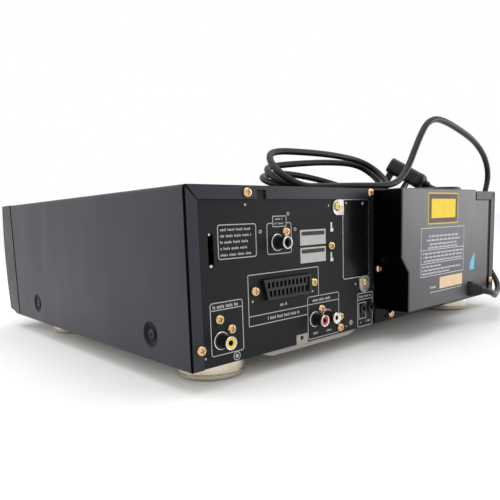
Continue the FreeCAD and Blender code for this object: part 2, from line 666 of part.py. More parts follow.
def rear_screws():
    """Plated screws in the cover's flanges, the panel, the skirt and the clips."""
    clips = [(S.window_x1 + 7.4, 99.4), (S.window_x0 + 6.6, 37.4)]
    keep("rear_screws",
         group(*[pan_head(x, z, S.rear_y, S.shank_long) for x, z in REAR_SCREWS + SKIRT_SCREWS],
               *[pan_head(x, z, S.panel_y, S.shank_long) for x, z in PANEL_SCREWS],
               *[pan_head(x, z, S.panel_y + 0.8, 0.8) for x, z in clips]))
    keep("jack_screws",
         group(*[pan_head(x, z, S.panel_y, S.shank_long) for x, z in jack_screw_places()]))


def side_screws():
    """Black screws in the pressed dishes on both sides of the cover."""
    screws = []
    seat = S.half_w - S.dish_deep
    for y in (S.rear_y - S.side_screw_back, S.rear_y - S.side_screw_back - S.side_screw_pitch):
        for side in (1, -1):
            head = (seat, seat + S.side_head_t) if side > 0 else (-seat - S.side_head_t, -seat)
            shank = (seat - 6, seat + 0.2) if side > 0 else (-seat - 0.2, -seat + 6)
            screws.append(fuse(rod("X", (y, up(S.side_screw_up)), S.side_head_r, head),
                               rod("X", (y, up(S.side_screw_up)), S.side_screw_r, shank)))
    keep("side_screws", group(*screws))


def feet():
    """Four round feet: a plated cup with a rubber pad in it."""
    shells, pads = [], []
    for x in (-S.half_w + S.foot_in, S.half_w - S.foot_in):
        for y in (S.rear_y - S.foot_back, S.bonnet_y + S.foot_front):
            cup = rod("Z", (x, y), S.foot_r, (1.0, S.base_z))
            well = rod("Z", (x, y), S.foot_r - S.foot_wall, (0.5, S.pad_t))
            shells.append(cut(cup, well))
            pads.append(rod("Z", (x, y), S.pad_r, (0.0, S.pad_t)))
    keep("foot_shells", group(*shells))
    keep("foot_pads", group(*pads))


# ---------------------------------------------------------------- connectors

def phono_places():
    """Yellow, red, white and black phono jacks."""
    return [(S.video_x, up(S.jack_z)), (S.audio_red_x, up(S.jack_z)),
            (S.audio_white_x, up(S.jack_z)), (S.digital_x, up(S.digital_z))]


def control_places():
    return [(S.control_in_x, up(S.control_z)), (S.control_out_x, up(S.control_z))]


def scart_outline(margin):
    """The multi-pin socket's outline: a rectangle with one sloped lower corner."""
    x0, x1 = S.scart_x - S.scart_w / 2 - margin, S.scart_x + S.scart_w / 2 + margin
    z0, z1 = up(S.scart_z) - S.scart_h / 2 - margin, up(S.scart_z) + S.scart_h / 2 + margin
    return [(x0, z0), (x1 - S.scart_corner, z0), (x1, z1), (x0, z1)]


def scart_socket():
    """The multi-pin socket: a raised rim round two rows of blade slots."""
    socket = Shaped("scart_socket")
    face = S.panel_y + S.scart_proud
    socket.pad("XZ", (face - S.scart_body, face), scart_outline(0))
    socket.pocket("XZ", (face - S.scart_dip, face), scart_outline(-S.scart_rim))
    first = S.scart_x - S.pin_pitch * 4.75
    for z, shift in ((up(S.scart_z) + 2.9, 0.0), (up(S.scart_z) - 2.9, -1.6)):
        slot = socket.pocket("XZ", (face - 5, face),
                             oblong(first + shift, first + shift + 2.2, z - 2.0, z + 2.0))
        socket.row(slot, "X_Axis", S.pin_pitch * (S.pin_slots - 1), int(S.pin_slots.number))
    socket.keep()


def phono_jacks():
    """Four phono jacks: plated shells, coloured insulators and the blocks behind the panel."""
    shells = []
    names = ("yellow_jack_insulator", "red_jack_insulator", "white_jack_insulator",
             "black_jack_insulator")
    base_y = S.panel_y + S.jack_base_t
    for (x, z), name in zip(phono_places(), names):
        outer = rod("Y", (x, z), S.jack_ring_r, (base_y, base_y + S.jack_long))
        bore = rod("Y", (x, z), S.jack_ring_r - S.jack_ring_t, (base_y - 1, base_y + S.jack_long + 1))
        shells.append(cut(outer, bore))
        collar = rod("Y", (x, z), S.jack_base_r, (S.panel_in_y, base_y))
        core = rod("Y", (x, z), S.jack_ring_r - S.jack_ring_t, (base_y - 0.5, base_y + S.jack_long - 1.4))
        pin_hole = rod("Y", (x, z), S.jack_bore_r, (S.panel_in_y + 1, base_y + S.jack_long))
        keep(name, cut(fuse(collar, core), pin_hole))
    keep("jack_shells", group(*shells))
    rear = (S.panel_in_y - 13, S.panel_in_y)
    foot = S.board_z + S.board_t
    keep("jack_blocks",
         group(block((S.video_x - 7, S.video_x + 7), rear, (foot, up(24))),
               block((S.audio_white_x - 7, S.audio_red_x + 7), rear, (foot, up(24))),
               block((S.digital_x - 7, S.digital_x + 7), rear, (up(S.digital_z) - 8, up(S.digital_z) + 8)),
               block((S.control_out_x - 5.5, S.control_in_x + 5.5), rear, (foot, up(23)))))


def control_jacks():
    """Two mini jacks for system control."""
    pair = []
    for x, z in control_places():
        ring = rod("Y", (x, z), S.control_r, (S.panel_in_y, S.panel_y + 1.6))
        bore = rod("Y", (x, z), S.control_bore_r, (S.panel_in_y + 0.4, S.panel_y + 2))
        pair.append(cut(ring, bore))
    keep("control_jacks", group(*pair))


# ---------------------------------------------------------------- front controls

def display_parts():
    """The smoked window, the display tube behind it and the board that carries the switches."""
    gap = S.button_gap
    pane = block((-S.window_left + gap, S.window_right - gap), (S.front_y + 2.7, S.front_y + 6.4),
                 (up(S.window_lo) + gap, up(S.window_hi) - gap))
    rim = block((-S.window_left - 3, S.window_right + 3), (S.front_y + 6.2, S.front_y + 7.6),
                (up(S.window_lo) - 3, up(S.window_hi) + 3))
    keep("display_window", fuse(pane, rim))
    keep("display_tube", rounded(block((-S.window_left + 9, S.window_right - 9),
                                       (S.front_y + 8, S.board_y), (up(16), up(37))), 1.5, "X"))
    board = Shaped("front_board")
    board.pad("XZ", (S.board_y, S.board_y + S.board_t),
              [(-199.0, up(6)), (203.0, up(6)), (203.0, up(72)), (140.0, up(72)), (140.0, up(44)),
               (-199.0, up(44))])
    board.pad("XZ", (S.board_y - 3, S.board_y),
              *[oblong(x - 3, x + 3, up(z - 3), up(z + 3)) for x, z, _, _ in BUTTONS.values()])
    board.keep()


def front_button(name, x, z, w, tall):
    """A key: a rounded cap in its opening, a lip behind the panel and a stem to its switch."""
    nose = S.front_y + 0.6
    cap = block((x - w / 2, x + w / 2), (nose, S.front_y + 6.6), (up(z - tall / 2), up(z + tall / 2)))
    soft = rounded(cap, 1.2, "Y")
    margin = S.button_lip
    lip = block((x - w / 2 - margin, x + w / 2 + margin), (S.front_y + 6.4, S.front_y + 7.6),
                (up(z - tall / 2) - margin, up(z + tall / 2) + margin))
    stem = rod("Y", (x, up(z)), 2.0, (S.front_y + 7.4, S.board_y - 3 - S.button_travel - 0.3))
    keep(name, fuse(soft, lip, stem))


# ---------------------------------------------------------------- mechanism

def tooth_outline(x, y, radial, along):
    """A tooth with straight flanks; radial and along are unit steps away from and across it."""
    half = (math.pi * S.module / 2 - S.backlash) / 2
    lean = math.tan(math.radians(20))
    root, tip = half + S.tooth_down * lean, half - S.tooth_up * lean
    steps = [(-S.tooth_down, root), (-S.tooth_down, -root), (S.tooth_up, -tip), (S.tooth_up, tip)]
    return [(x + radial[0] * r + along[0] * a, y + radial[1] * r + along[1] * a)
            for r, a in steps]


def gear(name, teeth, radius, centre, level, thickness, hub):
    """A spur gear on a vertical axis, made on its own origin and then set in place."""
    wheel = Shaped(name)
    span = (level, level + thickness)
    blank = wheel.pad("XY", span, hole(0, 0, radius - S.tooth_down + 0.3))
    tooth = wheel.pad("XY", span, tooth_outline(radius, as_dim(0), (1, 0), (0, 1)))
    upright = [f for f in wheel.body.Origin.OriginFeatures if f.Role == "Z_Axis"][0]
    wheel.ring(tooth, upright, int(number(teeth)))
    hub(wheel)
    bind(wheel.body, "Placement.Base.x", centre[0])
    bind(wheel.body, "Placement.Base.y", centre[1])
    wheel.keep()
    return blank


def disc_tray():
    """The disc tray: two round recesses, a slot for the pickup, side arms and a toothed rack."""
    tray = Shaped("disc_tray")
    x0, x1 = S.tray_x0, S.tray_x1
    slot0, slot1 = S.disc_x - S.tray_slot_half, S.disc_x + S.tray_slot_half
    slot_y = S.spindle_y - S.turntable_r - 3
    arm_y, rear = back(S.arm_rear), back(S.tray_rear)
    tray.pad("XY", (S.tray_lo_z, S.tray_hi_z),
             [(x0, S.tray_front_y), (x1, S.tray_front_y), (x1, arm_y), (x1 - S.arm_w, arm_y),
              (x1 - S.arm_w, rear), (slot1, rear), (slot1, slot_y), (slot0, slot_y),
              (slot0, rear), (x0 + S.arm_w, rear), (x0 + S.arm_w, arm_y), (x0, arm_y)])
    tray.pocket("XY", (S.disc_z, S.tray_hi_z + 1), hole(S.disc_x, S.spindle_y, S.recess_r))
    tray.pocket("XY", (S.disc_z - S.cd_recess_deep, S.disc_z + 1),
                hole(S.disc_x, S.spindle_y, S.cd_recess_r))
    tray.pad("XY", (S.rack_lo_z, S.tray_lo_z),
             oblong(S.rack_x - S.rack_w, S.rack_x, S.tray_front_y + 6, arm_y))
    pitch = math.pi * S.module.number
    first = S.gear_y - S.tooth_pitch * 1.5
    tooth = tray.pad("XY", (S.rack_lo_z, S.tray_lo_z),
                     tooth_outline(S.pitch_x, first, (1, 0), (0, 1)))
    count = int((number(arm_y) - 2 - number(first)) / pitch) + 1
    tray.row(tooth, "Y_Axis", S.tooth_pitch * (count - 1), count)
    for side in (-1, 1):
        grip = S.disc_x + side * (S.recess_r - 40)
        tray.pocket("XY", (S.disc_z - 2, S.tray_hi_z + 1),
                    hole(grip, S.tray_front_y + 40, 16.0))
    tray.smooth(4.0, lambda e: runs_along(e, "Z") and e.BoundBox.YMax < number(S.tray_front_y) + 0.1)
    tray.keep()


def mech_frame():
    """The deck on its legs, with axle posts for the gears."""
    deck = Shaped("mech_frame")
    left, right = -S.deck_left, S.deck_right
    deck.pad("XY", (S.deck_z, S.deck_top_z),
             [(left, back(S.deck_front)), (S.rack_x - 8, back(S.deck_front)),
              (S.rack_x - 8, back(S.tab_front)), (S.tab_right, back(S.tab_front)),
              (S.tab_right, back(S.tab_rear)), (right, back(S.tab_rear)),
              (right, back(S.deck_rear)), (left, back(S.deck_rear))])
    for x in (-150.0, 40.0):
        deck.pocket("XY", (S.deck_z - 1, S.deck_top_z + 1),
                    oblong(x, x + 50, back(290), back(120)))
    deck.pad("XY", (S.floor_z, S.deck_z),
             *[hole(x, back(y), S.leg_r) for x, y in
               ((-195.0, 290.0), (-195.0, 160.0), (-195.0, 28.0), (108.0, 290.0), (108.0, 160.0),
                (108.0, 80.0), (176.0, 278.0))])
    deck.pad("XY", (S.deck_top_z, S.gear_z - 0.3), hole(S.gear_x, S.gear_y, S.post_r))
    deck.pad("XY", (S.deck_top_z, S.gear_z - S.pulley_t - 0.6), hole(S.small_x, S.small_y, S.post_r))
    top = S.gear_z + S.gear_t + 0.8
    deck.pad("XY", (S.deck_top_z, top), hole(S.gear_x, S.gear_y, S.axle_r))
    deck.pad("XY", (S.deck_top_z, top), hole(S.small_x, S.small_y, S.axle_r))
    deck.keep()


def tray_guides():
    """The two rails that carry the tray's edges."""
    y = (back(S.guide_front), back(S.deck_rear + 2))
    on_deck = (back(S.deck_front), back(S.deck_rear + 2))
    shelf_top = S.tray_lo_z - S.run_gap
    wall_x = S.tray_x0 - S.guide_t - 1
    left = fuse(block((wall_x - S.guide_t + 4, wall_x + 4), on_deck, (S.deck_top_z, S.tray_lo_z + 6)),
                block((wall_x, S.tray_x0 + S.shelf_w - 4), y, (shelf_top - S.shelf_t, shelf_top)),
                block((wall_x, wall_x + 4), y, (shelf_top - S.shelf_t, S.tray_hi_z)))
    rail_x = S.rack_x - S.rack_w - 2
    right = fuse(block((rail_x - S.shelf_w, rail_x), y, (shelf_top - S.shelf_t, shelf_top)),
                 block((rail_x - S.shelf_w, rail_x - S.shelf_w + S.guide_t), on_deck,
                       (S.deck_top_z, shelf_top)))
    keep("tray_guides", group(left, right))


def loading_drive():
    """Motor, belt, pulley gear and tray gear that drive the rack."""
    level = S.gear_z

    def bored(wheel):
        wheel.pocket("XY", (level - 20, level + 20), hole(0, 0, S.axle_r + S.axle_fit))

    def with_pulley(wheel):
        low = level - S.pulley_t - 0.3
        wheel.pad("XY", (low, level), hole(0, 0, S.pulley_r - S.belt_groove))
        for span in ((low, low + 1.5), (level - 1.8, level - 0.3)):
            wheel.pad("XY", span, hole(0, 0, S.pulley_r))
        bored(wheel)

    gear("tray_gear", S.gear_teeth, S.gear_r, (S.gear_x, S.gear_y), level, S.gear_t, bored)
    gear("pulley_gear", S.pulley_teeth, S.small_r, (S.small_x, S.small_y), level, S.gear_t,
         with_pulley)
    motor_top = S.deck_top_z + S.motor_h
    shaft_top = level
    keep("loading_motor",
         fuse(rod("Z", (S.motor_x, S.motor_y), S.motor_r, (S.deck_top_z, motor_top)),
              rod("Z", (S.motor_x, S.motor_y), 3.0, (motor_top - 0.1, motor_top + 1.2)),
              rod("Z", (S.motor_x, S.motor_y), 1.0, (motor_top, shaft_top))))
    low = level - S.pulley_t - 0.3
    spool = rod("Z", (S.motor_x, S.motor_y), S.motor_pulley_r - S.belt_groove, (low, level - 0.3))
    rims = [rod("Z", (S.motor_x, S.motor_y), S.motor_pulley_r, span)
            for span in ((low, low + 1.5), (level - 1.8, level - 0.3))]
    bore = rod("Z", (S.motor_x, S.motor_y), 1.0 + S.axle_fit, (low - 1, level))
    keep("motor_pulley", cut(fuse(spool, *rims), bore))
    drive_belt(low + S.pulley_t / 2)


def drive_belt(level):
    """A round belt round both pulleys: two straight runs joined by two arcs."""
    big = S.pulley_r.number - S.belt_groove.number + S.belt_r.number + 0.1
    small = S.motor_pulley_r.number - S.belt_groove.number + S.belt_r.number + 0.1
    dx, dy = S.motor_dx.number, S.motor_dy.number
    gap = math.hypot(dx, dy)
    heading = math.atan2(dy, dx)
    lean = math.acos((big - small) / gap)
    centre = FreeCAD.Vector(S.small_x.number, S.small_y.number, level.number)
    far = centre + FreeCAD.Vector(dx, dy, 0)

    def on(middle, radius, angle):
        return middle + FreeCAD.Vector(radius * math.cos(angle), radius * math.sin(angle), 0)

    a, b = on(centre, big, heading + lean), on(far, small, heading + lean)
    c, d = on(far, small, heading - lean), on(centre, big, heading - lean)
    path = Part.Wire([Part.LineSegment(a, b).toShape(),
                      Part.Arc(b, on(far, small, heading), c).toShape(),
                      Part.LineSegment(c, d).toShape(),
                      Part.Arc(d, on(centre, big, heading + math.pi), a).toShape()])
    ring = Part.Wire([Part.Circle(a, b - a, S.belt_r.number).toShape()])
    belt = doc.addObject("Part::Feature", "belt")
    belt.Shape = path.makePipeShell([ring], True, False)
    keep("drive_belt", belt)


def spindle_parts():
    """The spindle motor, the turntable with its two hubs, and the magnetic clamper above."""
    centre = (S.disc_x, S.spindle_y)
    motor_top = S.deck_top_z + S.spindle_motor_h
    keep("spindle_motor",
         fuse(rod("Z", centre, S.spindle_motor_r, (S.deck_top_z, motor_top)),
              rod("Z", centre, 4.0, (motor_top - 0.1, motor_top + 1.5)),
              rod("Z", centre, S.spindle_r, (motor_top, S.disc_z - 0.5))))
    hub_top = S.disc_z + S.hub_h
    plate = fuse(rod("Z", centre, 6.0, (motor_top + 2, S.disc_z - 1.5)),
                 rod("Z", centre, S.turntable_r, (S.disc_z - 2.5, S.disc_z)),
                 rod("Z", centre, S.hub_r, (S.disc_z - 0.1, hub_top)),
                 rod("Z", centre, S.cd_hub_r, (hub_top - 0.1, hub_top + S.cd_hub_h)))
    keep("turntable", cut(plate, rod("Z", centre, S.spindle_r + S.axle_fit,
                                     (motor_top, S.disc_z - 0.4))))
    low = S.disc_z + S.clamp_gap
    stem_top = up(S.bridge_up) - 2.2
    arm_z = stem_top - 1.6 - S.arm_t
    keep("clamper",
         fuse(rod("Z", centre, S.clamper_r, (low, low + S.clamper_t)),
              rod("Z", centre, S.clamper_stem_r, (low + S.clamper_t - 0.1, stem_top)),
              rod("Z", centre, S.clamper_stem_r + 3, (stem_top - 1.3, stem_top))))
    clamp_arm(centre, arm_z)


def clamp_arm(centre, arm_z):
    """The arm that carries the clamper, pivoted under a bridge across the tray."""
    pivot_y = S.spindle_y - S.pivot_ahead
    pivot_z = arm_z + S.arm_t / 2
    half = S.arm_half
    arm = fuse(block((S.disc_x - half, S.disc_x + half), (pivot_y, S.spindle_y + half),
                     (arm_z, arm_z + S.arm_t)),
               rod("X", (pivot_y, pivot_z), 3.5, (S.disc_x - half, S.disc_x + half)),
               rod("X", (pivot_y, pivot_z), S.axle_r, (S.disc_x - half - 5, S.disc_x + half + 5)))
    keep("clamp_arm", cut(arm, rod("Z", centre, S.clamper_stem_r + 0.3, (arm_z - 1, arm_z + 8))))
    bridge_z = up(S.bridge_up)
    beam_y = (pivot_y - S.bridge_half, pivot_y + S.bridge_half)
    leg_x0 = S.tray_x0 - S.guide_t - 1
    leg_x1 = S.tray_x1 + 4
    beam = fuse(block((leg_x0, leg_x1 + 4), beam_y, (bridge_z, bridge_z + S.bridge_t)),
                block((leg_x0, leg_x0 + 4), beam_y, (S.tray_hi_z, bridge_z + 1)),
                block((leg_x1, leg_x1 + 4), beam_y, (S.deck_top_z, bridge_z + 1)),
                *[block((x, x + 3), (pivot_y - 5, pivot_y + 5), (pivot_z - 5, bridge_z + 0.1))
                  for x in (S.disc_x - half - 4, S.disc_x + half + 1)])
    pivot_holes = rod("X", (pivot_y, pivot_z), S.axle_r + S.axle_fit,
                      (S.disc_x - half - 8, S.disc_x + half + 8))
    keep("clamp_bridge", cut(beam, pivot_holes))


def turn_rails():
    """The two C-shaped rails that lead the pickup from under the disc round to above it."""
    centre = (S.turn_y, S.disc_z + 1)
    front = S.spindle_y + S.turntable_r + 4
    rails = []
    for side in (-1, 1):
        inner = S.disc_x + side * S.rail_inner
        outer = S.disc_x + side * (S.rail_inner + S.rail_t)
        groove = S.disc_x + side * (S.rail_inner + S.groove_deep)
        wall = (outer, inner) if side < 0 else (inner, outer)
        channel = (groove, inner + 1) if side < 0 else (inner - 1, groove)
        plate = c_shape(wall, centre, S.turn_r - S.rail_half, S.turn_r + S.rail_half, front)
        trough = c_shape(channel, centre, S.turn_r - S.pin_r - 0.3, S.turn_r + S.pin_r + 0.3, front + 2)
        feet_z = (S.deck_top_z, S.disc_z + 1 - S.turn_r - S.rail_half + 0.5)
        blocks = [block(wall, (back(y), back(y - 14)), feet_z) for y in (150.0, 60.0, 32.0)]
        rails.append(fuse(cut(plate, trough), *blocks))
    keep("turn_rails", group(*rails))


def c_shape(x, centre, near, far, front):
    """A C lying on its side: a half ring at the back with a straight bar below and above."""
    y, z = centre
    ring = cut(rod("X", centre, far, x), rod("X", centre, near, (x[0] - 1, as_dim(x[1]) + 1)))
    half = cut(ring, block((x[0] - 2, as_dim(x[1]) + 2), (y - far - 1, y), (z - far - 1, z + far + 1)))
    return fuse(half, block(x, (front, y + 0.05), (z - far, z - near)),
                block(x, (front, y + 0.05), (z + near, z + far)))


def pickup():
    """The laser pickup's carriage with its guide pins, feed motor and moving lens."""
    y0, y1 = S.turn_y - S.carriage_len / 2, S.turn_y + S.carriage_len / 2
    x0, x1 = S.disc_x - S.carriage_half, S.disc_x + S.carriage_half
    top, low = S.disc_z + 1 - S.carriage_top, S.disc_z + 1 - S.carriage_low
    lens_y = S.turn_y - S.lens_ahead
    axle_z = S.disc_z + 1 - S.turn_r
    bed = (low + 6.0, low + 20.4)
    body = cut(block((x0, x1), (y0, y1), (low, top)),
               block((x0 + 4, x1 - 4), (y1 - 13, y1 + 1), bed),
               rod("Z", (S.disc_x, lens_y), S.lens_r + 0.7, (top - 3, top + 1)))
    pins = rod("X", (S.turn_y, axle_z), S.pin_r,
               (S.disc_x - S.rail_inner - 2.2, S.disc_x + S.rail_inner + 2.2))
    keep("pickup_carriage", fuse(body, pins))
    keep("feed_motor", rod("X", (y1 - 6.3, low + 12.7), 6.5, (x0 + 4, x1 - 4)))
    keep("pickup_lens", rod("Z", (S.disc_x, lens_y), S.lens_r, (top - 1.8, top + 1.2)))


# ---------------------------------------------------------------- electronics

def boards():
    """Circuit boards on the pan's stand-offs, with the parts that stand on them."""
    z = (S.board_z, S.board_z + S.board_t)
    face = S.board_z + S.board_t
    chips = [block((x, x + w), (back(y), back(y - d)), (face - 0.1, face + 3.2)) for x, y, w, d in
             ((-150.0, 110.0, 24.0, 18.0), (-90.0, 110.0, 20.0, 20.0), (0.0, 112.0, 28.0, 14.0),
              (60.0, 112.0, 16.0, 16.0))]
    keep("main_board", fuse(block((-185.0, 90.0), (back(285), back(85)), z), *chips))
    keep("connector_board", block((24.0, 203.0), (back(62), back(9)), z))
    fins = [block((186.0 + i * 4, 187.4 + i * 4), (back(186), back(112)), (face, face + 38))
            for i in range(4)]
    sink = block((186.0, 199.4), (back(186), back(112)), (face - 0.1, face + 3))
    keep("power_board", fuse(block((131.0, 203.0), (back(193), back(75)), z), sink, *fins))
    cans = [rod("Z", (x, back(y)), r, (face, face + tall)) for x, y, r, tall in
            ((150.0, 172.0, 9.0, 32.0), (174.0, 172.0, 9.0, 32.0), (150.0, 148.0, 6.5, 22.0),
             (168.0, 148.0, 6.5, 22.0))]
    keep("filter_capacitors", group(*cans))
    transformer()


def transformer():
    """The mains transformer: a laminated core with a winding bobbin on a bracket."""
    x, y = (142.0, 200.0), (back(258), back(202))
    low = S.floor_z
    core = cut(block(x, (back(243), back(217)), (low + 2, low + 50)),
               *[block((x0, x0 + 9), (back(244), back(216)), (low + 11, low + 41)) for x0 in (151.0, 182.0)])
    plate = block(x, y, (low, low + 2.1))
    coil = block((152.0, 190.0), y, (low + 12, low + 40))
    keep("power_transformer", fuse(core, plate, coil))


# ---------------------------------------------------------------- mains lead

def bushing():
    """The strain relief, in the cover's notch: a square body with a neck through the panel."""
    x, z = -S.bushing_x, up(S.bushing_z)
    body = rounded(block((x - S.bushing_w / 2, x + S.bushing_w / 2), (S.rear_y, S.rear_y + S.bushing_long),
                         (z - S.bushing_h / 2, z + S.bushing_h / 2)), 0.8, "Y")
    neck = rod("Y", (x, z), 3.7, (S.panel_in_y - 5, S.rear_y + 1))
    keep("cord_bushing", fuse(body, neck))


PLUG = {"neck": 8.0, "long": 43.0, "wide": 46.0, "thick": 15.0, "lean": 31.9, "heading": -64.1,
        "live_at": 23.8, "pin_step": 22.2, "pin_half_gap": 11.1}
PLUG_AT = FreeCAD.Vector(-189.0, -69.3, 124.1)


def plug_turn():
    """The plug's rotation: its axis turned to its heading and raised by its lean."""
    return FreeCAD.Rotation(AXES["Z"], PLUG["heading"]) * FreeCAD.Rotation(AXES["Y"], -PLUG["lean"])


def before_plug(distance):
    """A place on the plug's axis, a distance before its cable end."""
    place = PLUG_AT - plug_turn().multVec(AXES["X"]) * distance
    return (place.x, place.y, place.z)


LEAD = [
    (-101.0, 16.0, 18.2), (-101.0, 17.5, 18.2), (-101.0, 25.7, 18.2), (-105.7, 33.8, 17.2),
    (-113.8, 38.5, 15.2), (-124.5, 37.6, 12.2), (-141.0, 31.6, 8.2), (-159.0, 24.4, 5.2),
    (-180.0, 16.8, 3.8), (-200.0, 10.9, 5.8), (-214.2, 2.9, 13.4), (-221.0, -9.0, 26.0),
    (-224.8, -17.5, 44.0), (-225.0, -21.5, 66.0), (-223.5, -22.0, 90.0), (-227.5, -19.5, 112.0),
    (-230.0, -16.5, 133.0), (-217.0, -15.0, 152.2), (-194.0, -14.0, 165.0), (-172.5, -13.3, 172.0),
    (-150.0, -13.0, 177.0), (-125.0, -13.0, 182.0), (-101.0, -13.0, 184.0), (-84.0, -13.0, 178.0),
    (-73.0, -13.0, 166.0), (-63.0, -13.0, 152.0), (-53.0, -13.0, 137.0), (-41.0, -13.0, 124.5),
    (-25.0, -13.0, 118.6), (-8.0, -14.5, 117.2), (12.0, -20.0, 117.2), (30.0, -28.0, 117.2),
    (46.0, -36.0, 117.2),
]
TAIL = [
    (-96.0, -96.0, 117.2), (-109.0, -96.0, 117.2), (-120.0, -89.0, 117.2), (-126.0, -77.0, 117.2),
    (-131.0, -63.0, 117.2), (-138.0, -48.0, 117.2), (-148.5, -34.0, 117.2), (-163.0, -25.0, 117.2),
    (-180.0, -27.0, 117.2), (-193.0, -37.0, 117.2), (-196.5, -50.0, 117.2), before_plug(9.5),
    before_plug(0),
]


def rounded_path(route):
    """Straight runs joined by arcs that are as large as the runs allow."""
    points = [FreeCAD.Vector(x, y + S.rear_y.number, z + S.base_z.number) for x, y, z in route]
    edges, at = [], points[0]
    for before, corner, after in zip(points, points[1:], points[2:]):
        into, out = (corner - before), (after - corner)
        shorter = min(into.Length, out.Length)
        into.normalize()
        out.normalize()
        turn = math.acos(max(-1.0, min(1.0, into.dot(out))))
        if turn < 0.001:
            continue
        reach = 0.45 * shorter
        radius = reach / math.tan(turn / 2)
        start, end = corner - into * reach, corner + out * reach
        toward = out - into
        toward.normalize()
        middle = corner + toward * (radius / math.cos(turn / 2) - radius)
        edges.append(Part.LineSegment(at, start).toShape())
        edges.append(Part.Arc(start, middle, end).toShape())
        print(f"bend radius {radius:.1f} mm, turn {math.degrees(turn):.0f} degrees")
        at = end
    edges.append(Part.LineSegment(at, points[-1]).toShape())
    return Part.Wire(edges)


def cord_tube(name, route):
    """A round tube along a rounded route."""
    path = rounded_path(route)
    start = path.Edges[0]
    ring = Part.Circle(start.Vertexes[0].Point, start.tangentAt(start.FirstParameter), S.cord_r.number)
    tube = doc.addObject("Part::Feature", name)
    tube.Shape = path.makePipeShell([Part.Wire([ring.toShape()])], True, False)
    ratio = tube.Shape.Volume / (math.pi * S.cord_r.number ** 2 * path.Length)
    print(f"{name}: length {path.Length:.0f} mm, volume ratio {ratio:.4f}")
    keep(name, tube)


def mains_lead():
    """The lead from the bushing, over the case, with its hank and plug lying on top."""
    cord_tube("mains_lead", LEAD)
    cord_tube("lead_tail", TAIL)
    hank = Shaped("lead_hank")
    foot, y = S.top_z, S.rear_y
    hank.pad("YZ", (-96.0, 75.0),
             [(y - 33, foot), (y - 33, foot + 9), (y - 68, foot + 36), (y - 104, foot + 36),
              (y - 104, foot)])
    hank.keep()


def plug():
    """A moulded three-pin plug that stands on its pins, cable end low."""
    x, y, z = TAIL[-1]
    place = FreeCAD.Placement(FreeCAD.Vector(x, y + S.rear_y.number, z + S.base_z.number), plug_turn())
    half_w, half_t = PLUG["wide"] / 2, PLUG["thick"] / 2
    shell = Part.makeBox(PLUG["long"], PLUG["wide"], PLUG["thick"],
                         FreeCAD.Vector(PLUG["neck"], -half_w, -half_t))
    shell = shell.makeFillet(9.0, [e for e in shell.Edges if runs_along(e, "Z")])
    neck = Part.makeCylinder(4.6, PLUG["neck"] + 0.5, FreeCAD.Vector(0, 0, 0), AXES["X"])
    body = doc.addObject("Part::Feature", "moulding")
    body.Shape = shell.fuse(neck).removeSplitter()
    body.Placement = place
    keep("plug_body", body)
    live, earth = PLUG["live_at"], PLUG["live_at"] + PLUG["pin_step"]
    blades = [Part.makeBox(8.0, 4.0, 22.7, FreeCAD.Vector(earth - 4, -2, -half_t - 22.7))]
    for side in (-1, 1):
        across = side * PLUG["pin_half_gap"] - 3.15
        blades.append(Part.makeBox(4.0, 6.3, 17.7, FreeCAD.Vector(live - 2, across, -half_t - 17.7)))
    pins = doc.addObject("Part::Feature", "pins")
    pins.Shape = Part.makeCompound(blades)
    pins.Placement = place
    keep("plug_pins", pins)


# ---------------------------------------------------------------- build and write

def build():
    bonnet_cover()
    chassis_base()
    front_panel()
    tray_door()
    rear_panel()
    mechanism_rear_cover()
    window_parts()
    rear_screws()
    side_screws()
    feet()
    scart_socket()
    phono_jacks()
    control_jacks()
    display_parts()
    for name, (x, z, w, tall) in BUTTONS.items():
        front_button(name, x, z, w, tall)
    disc_tray()
    mech_frame()
    tray_guides()
    loading_drive()
    spindle_parts()
    turn_rails()
    pickup()
    boards()
    bushing()
    mains_lead()
    plug()
    doc.recompute()


def write_all():
    """Stop on any failed object, then write each sub-part to its own file."""
    for obj in doc.Objects:
        if "Invalid" in obj.State or "Error" in obj.State:
            raise RuntimeError(f"{obj.Name} ({obj.Label}) failed: {obj.State}")
    for name, obj in SUBPARTS.items():
        if obj.Shape.isNull() or not obj.Shape.isValid() or not obj.Shape.Solids:
            raise RuntimeError(f"{name} has no valid solid")
    os.makedirs("parts", exist_ok=True)
    for name, obj in SUBPARTS.items():
        obj.Shape.exportStep(f"parts/{name}.step")
    print(f"{len(SUBPARTS)} sub-parts written")


build()
write_all()
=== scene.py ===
"""Looks of a large-format disc player: steel case, sockets, deep rear cover and mains lead."""

import logging
import math
from dataclasses import dataclass, field
from enum import Enum

import bmesh
import bpy
import numpy as np
from mathutils import Matrix, Vector


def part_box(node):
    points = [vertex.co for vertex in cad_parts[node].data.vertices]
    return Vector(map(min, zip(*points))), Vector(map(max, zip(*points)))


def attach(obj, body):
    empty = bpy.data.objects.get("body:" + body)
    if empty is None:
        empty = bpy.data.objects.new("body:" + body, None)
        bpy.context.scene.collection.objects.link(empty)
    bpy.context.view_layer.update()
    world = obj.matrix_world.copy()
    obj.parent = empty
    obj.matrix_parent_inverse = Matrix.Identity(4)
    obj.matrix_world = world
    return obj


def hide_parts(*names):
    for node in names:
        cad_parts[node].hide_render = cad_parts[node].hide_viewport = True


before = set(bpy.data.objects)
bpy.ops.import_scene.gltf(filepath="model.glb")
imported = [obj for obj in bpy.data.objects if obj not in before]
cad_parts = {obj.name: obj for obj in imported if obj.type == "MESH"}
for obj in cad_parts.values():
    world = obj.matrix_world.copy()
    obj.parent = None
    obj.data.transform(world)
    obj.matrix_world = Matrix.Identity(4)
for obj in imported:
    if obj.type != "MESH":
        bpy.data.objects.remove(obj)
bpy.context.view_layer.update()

log = logging.getLogger("disc_player")
logging.basicConfig(level=logging.INFO, format="%(message)s")

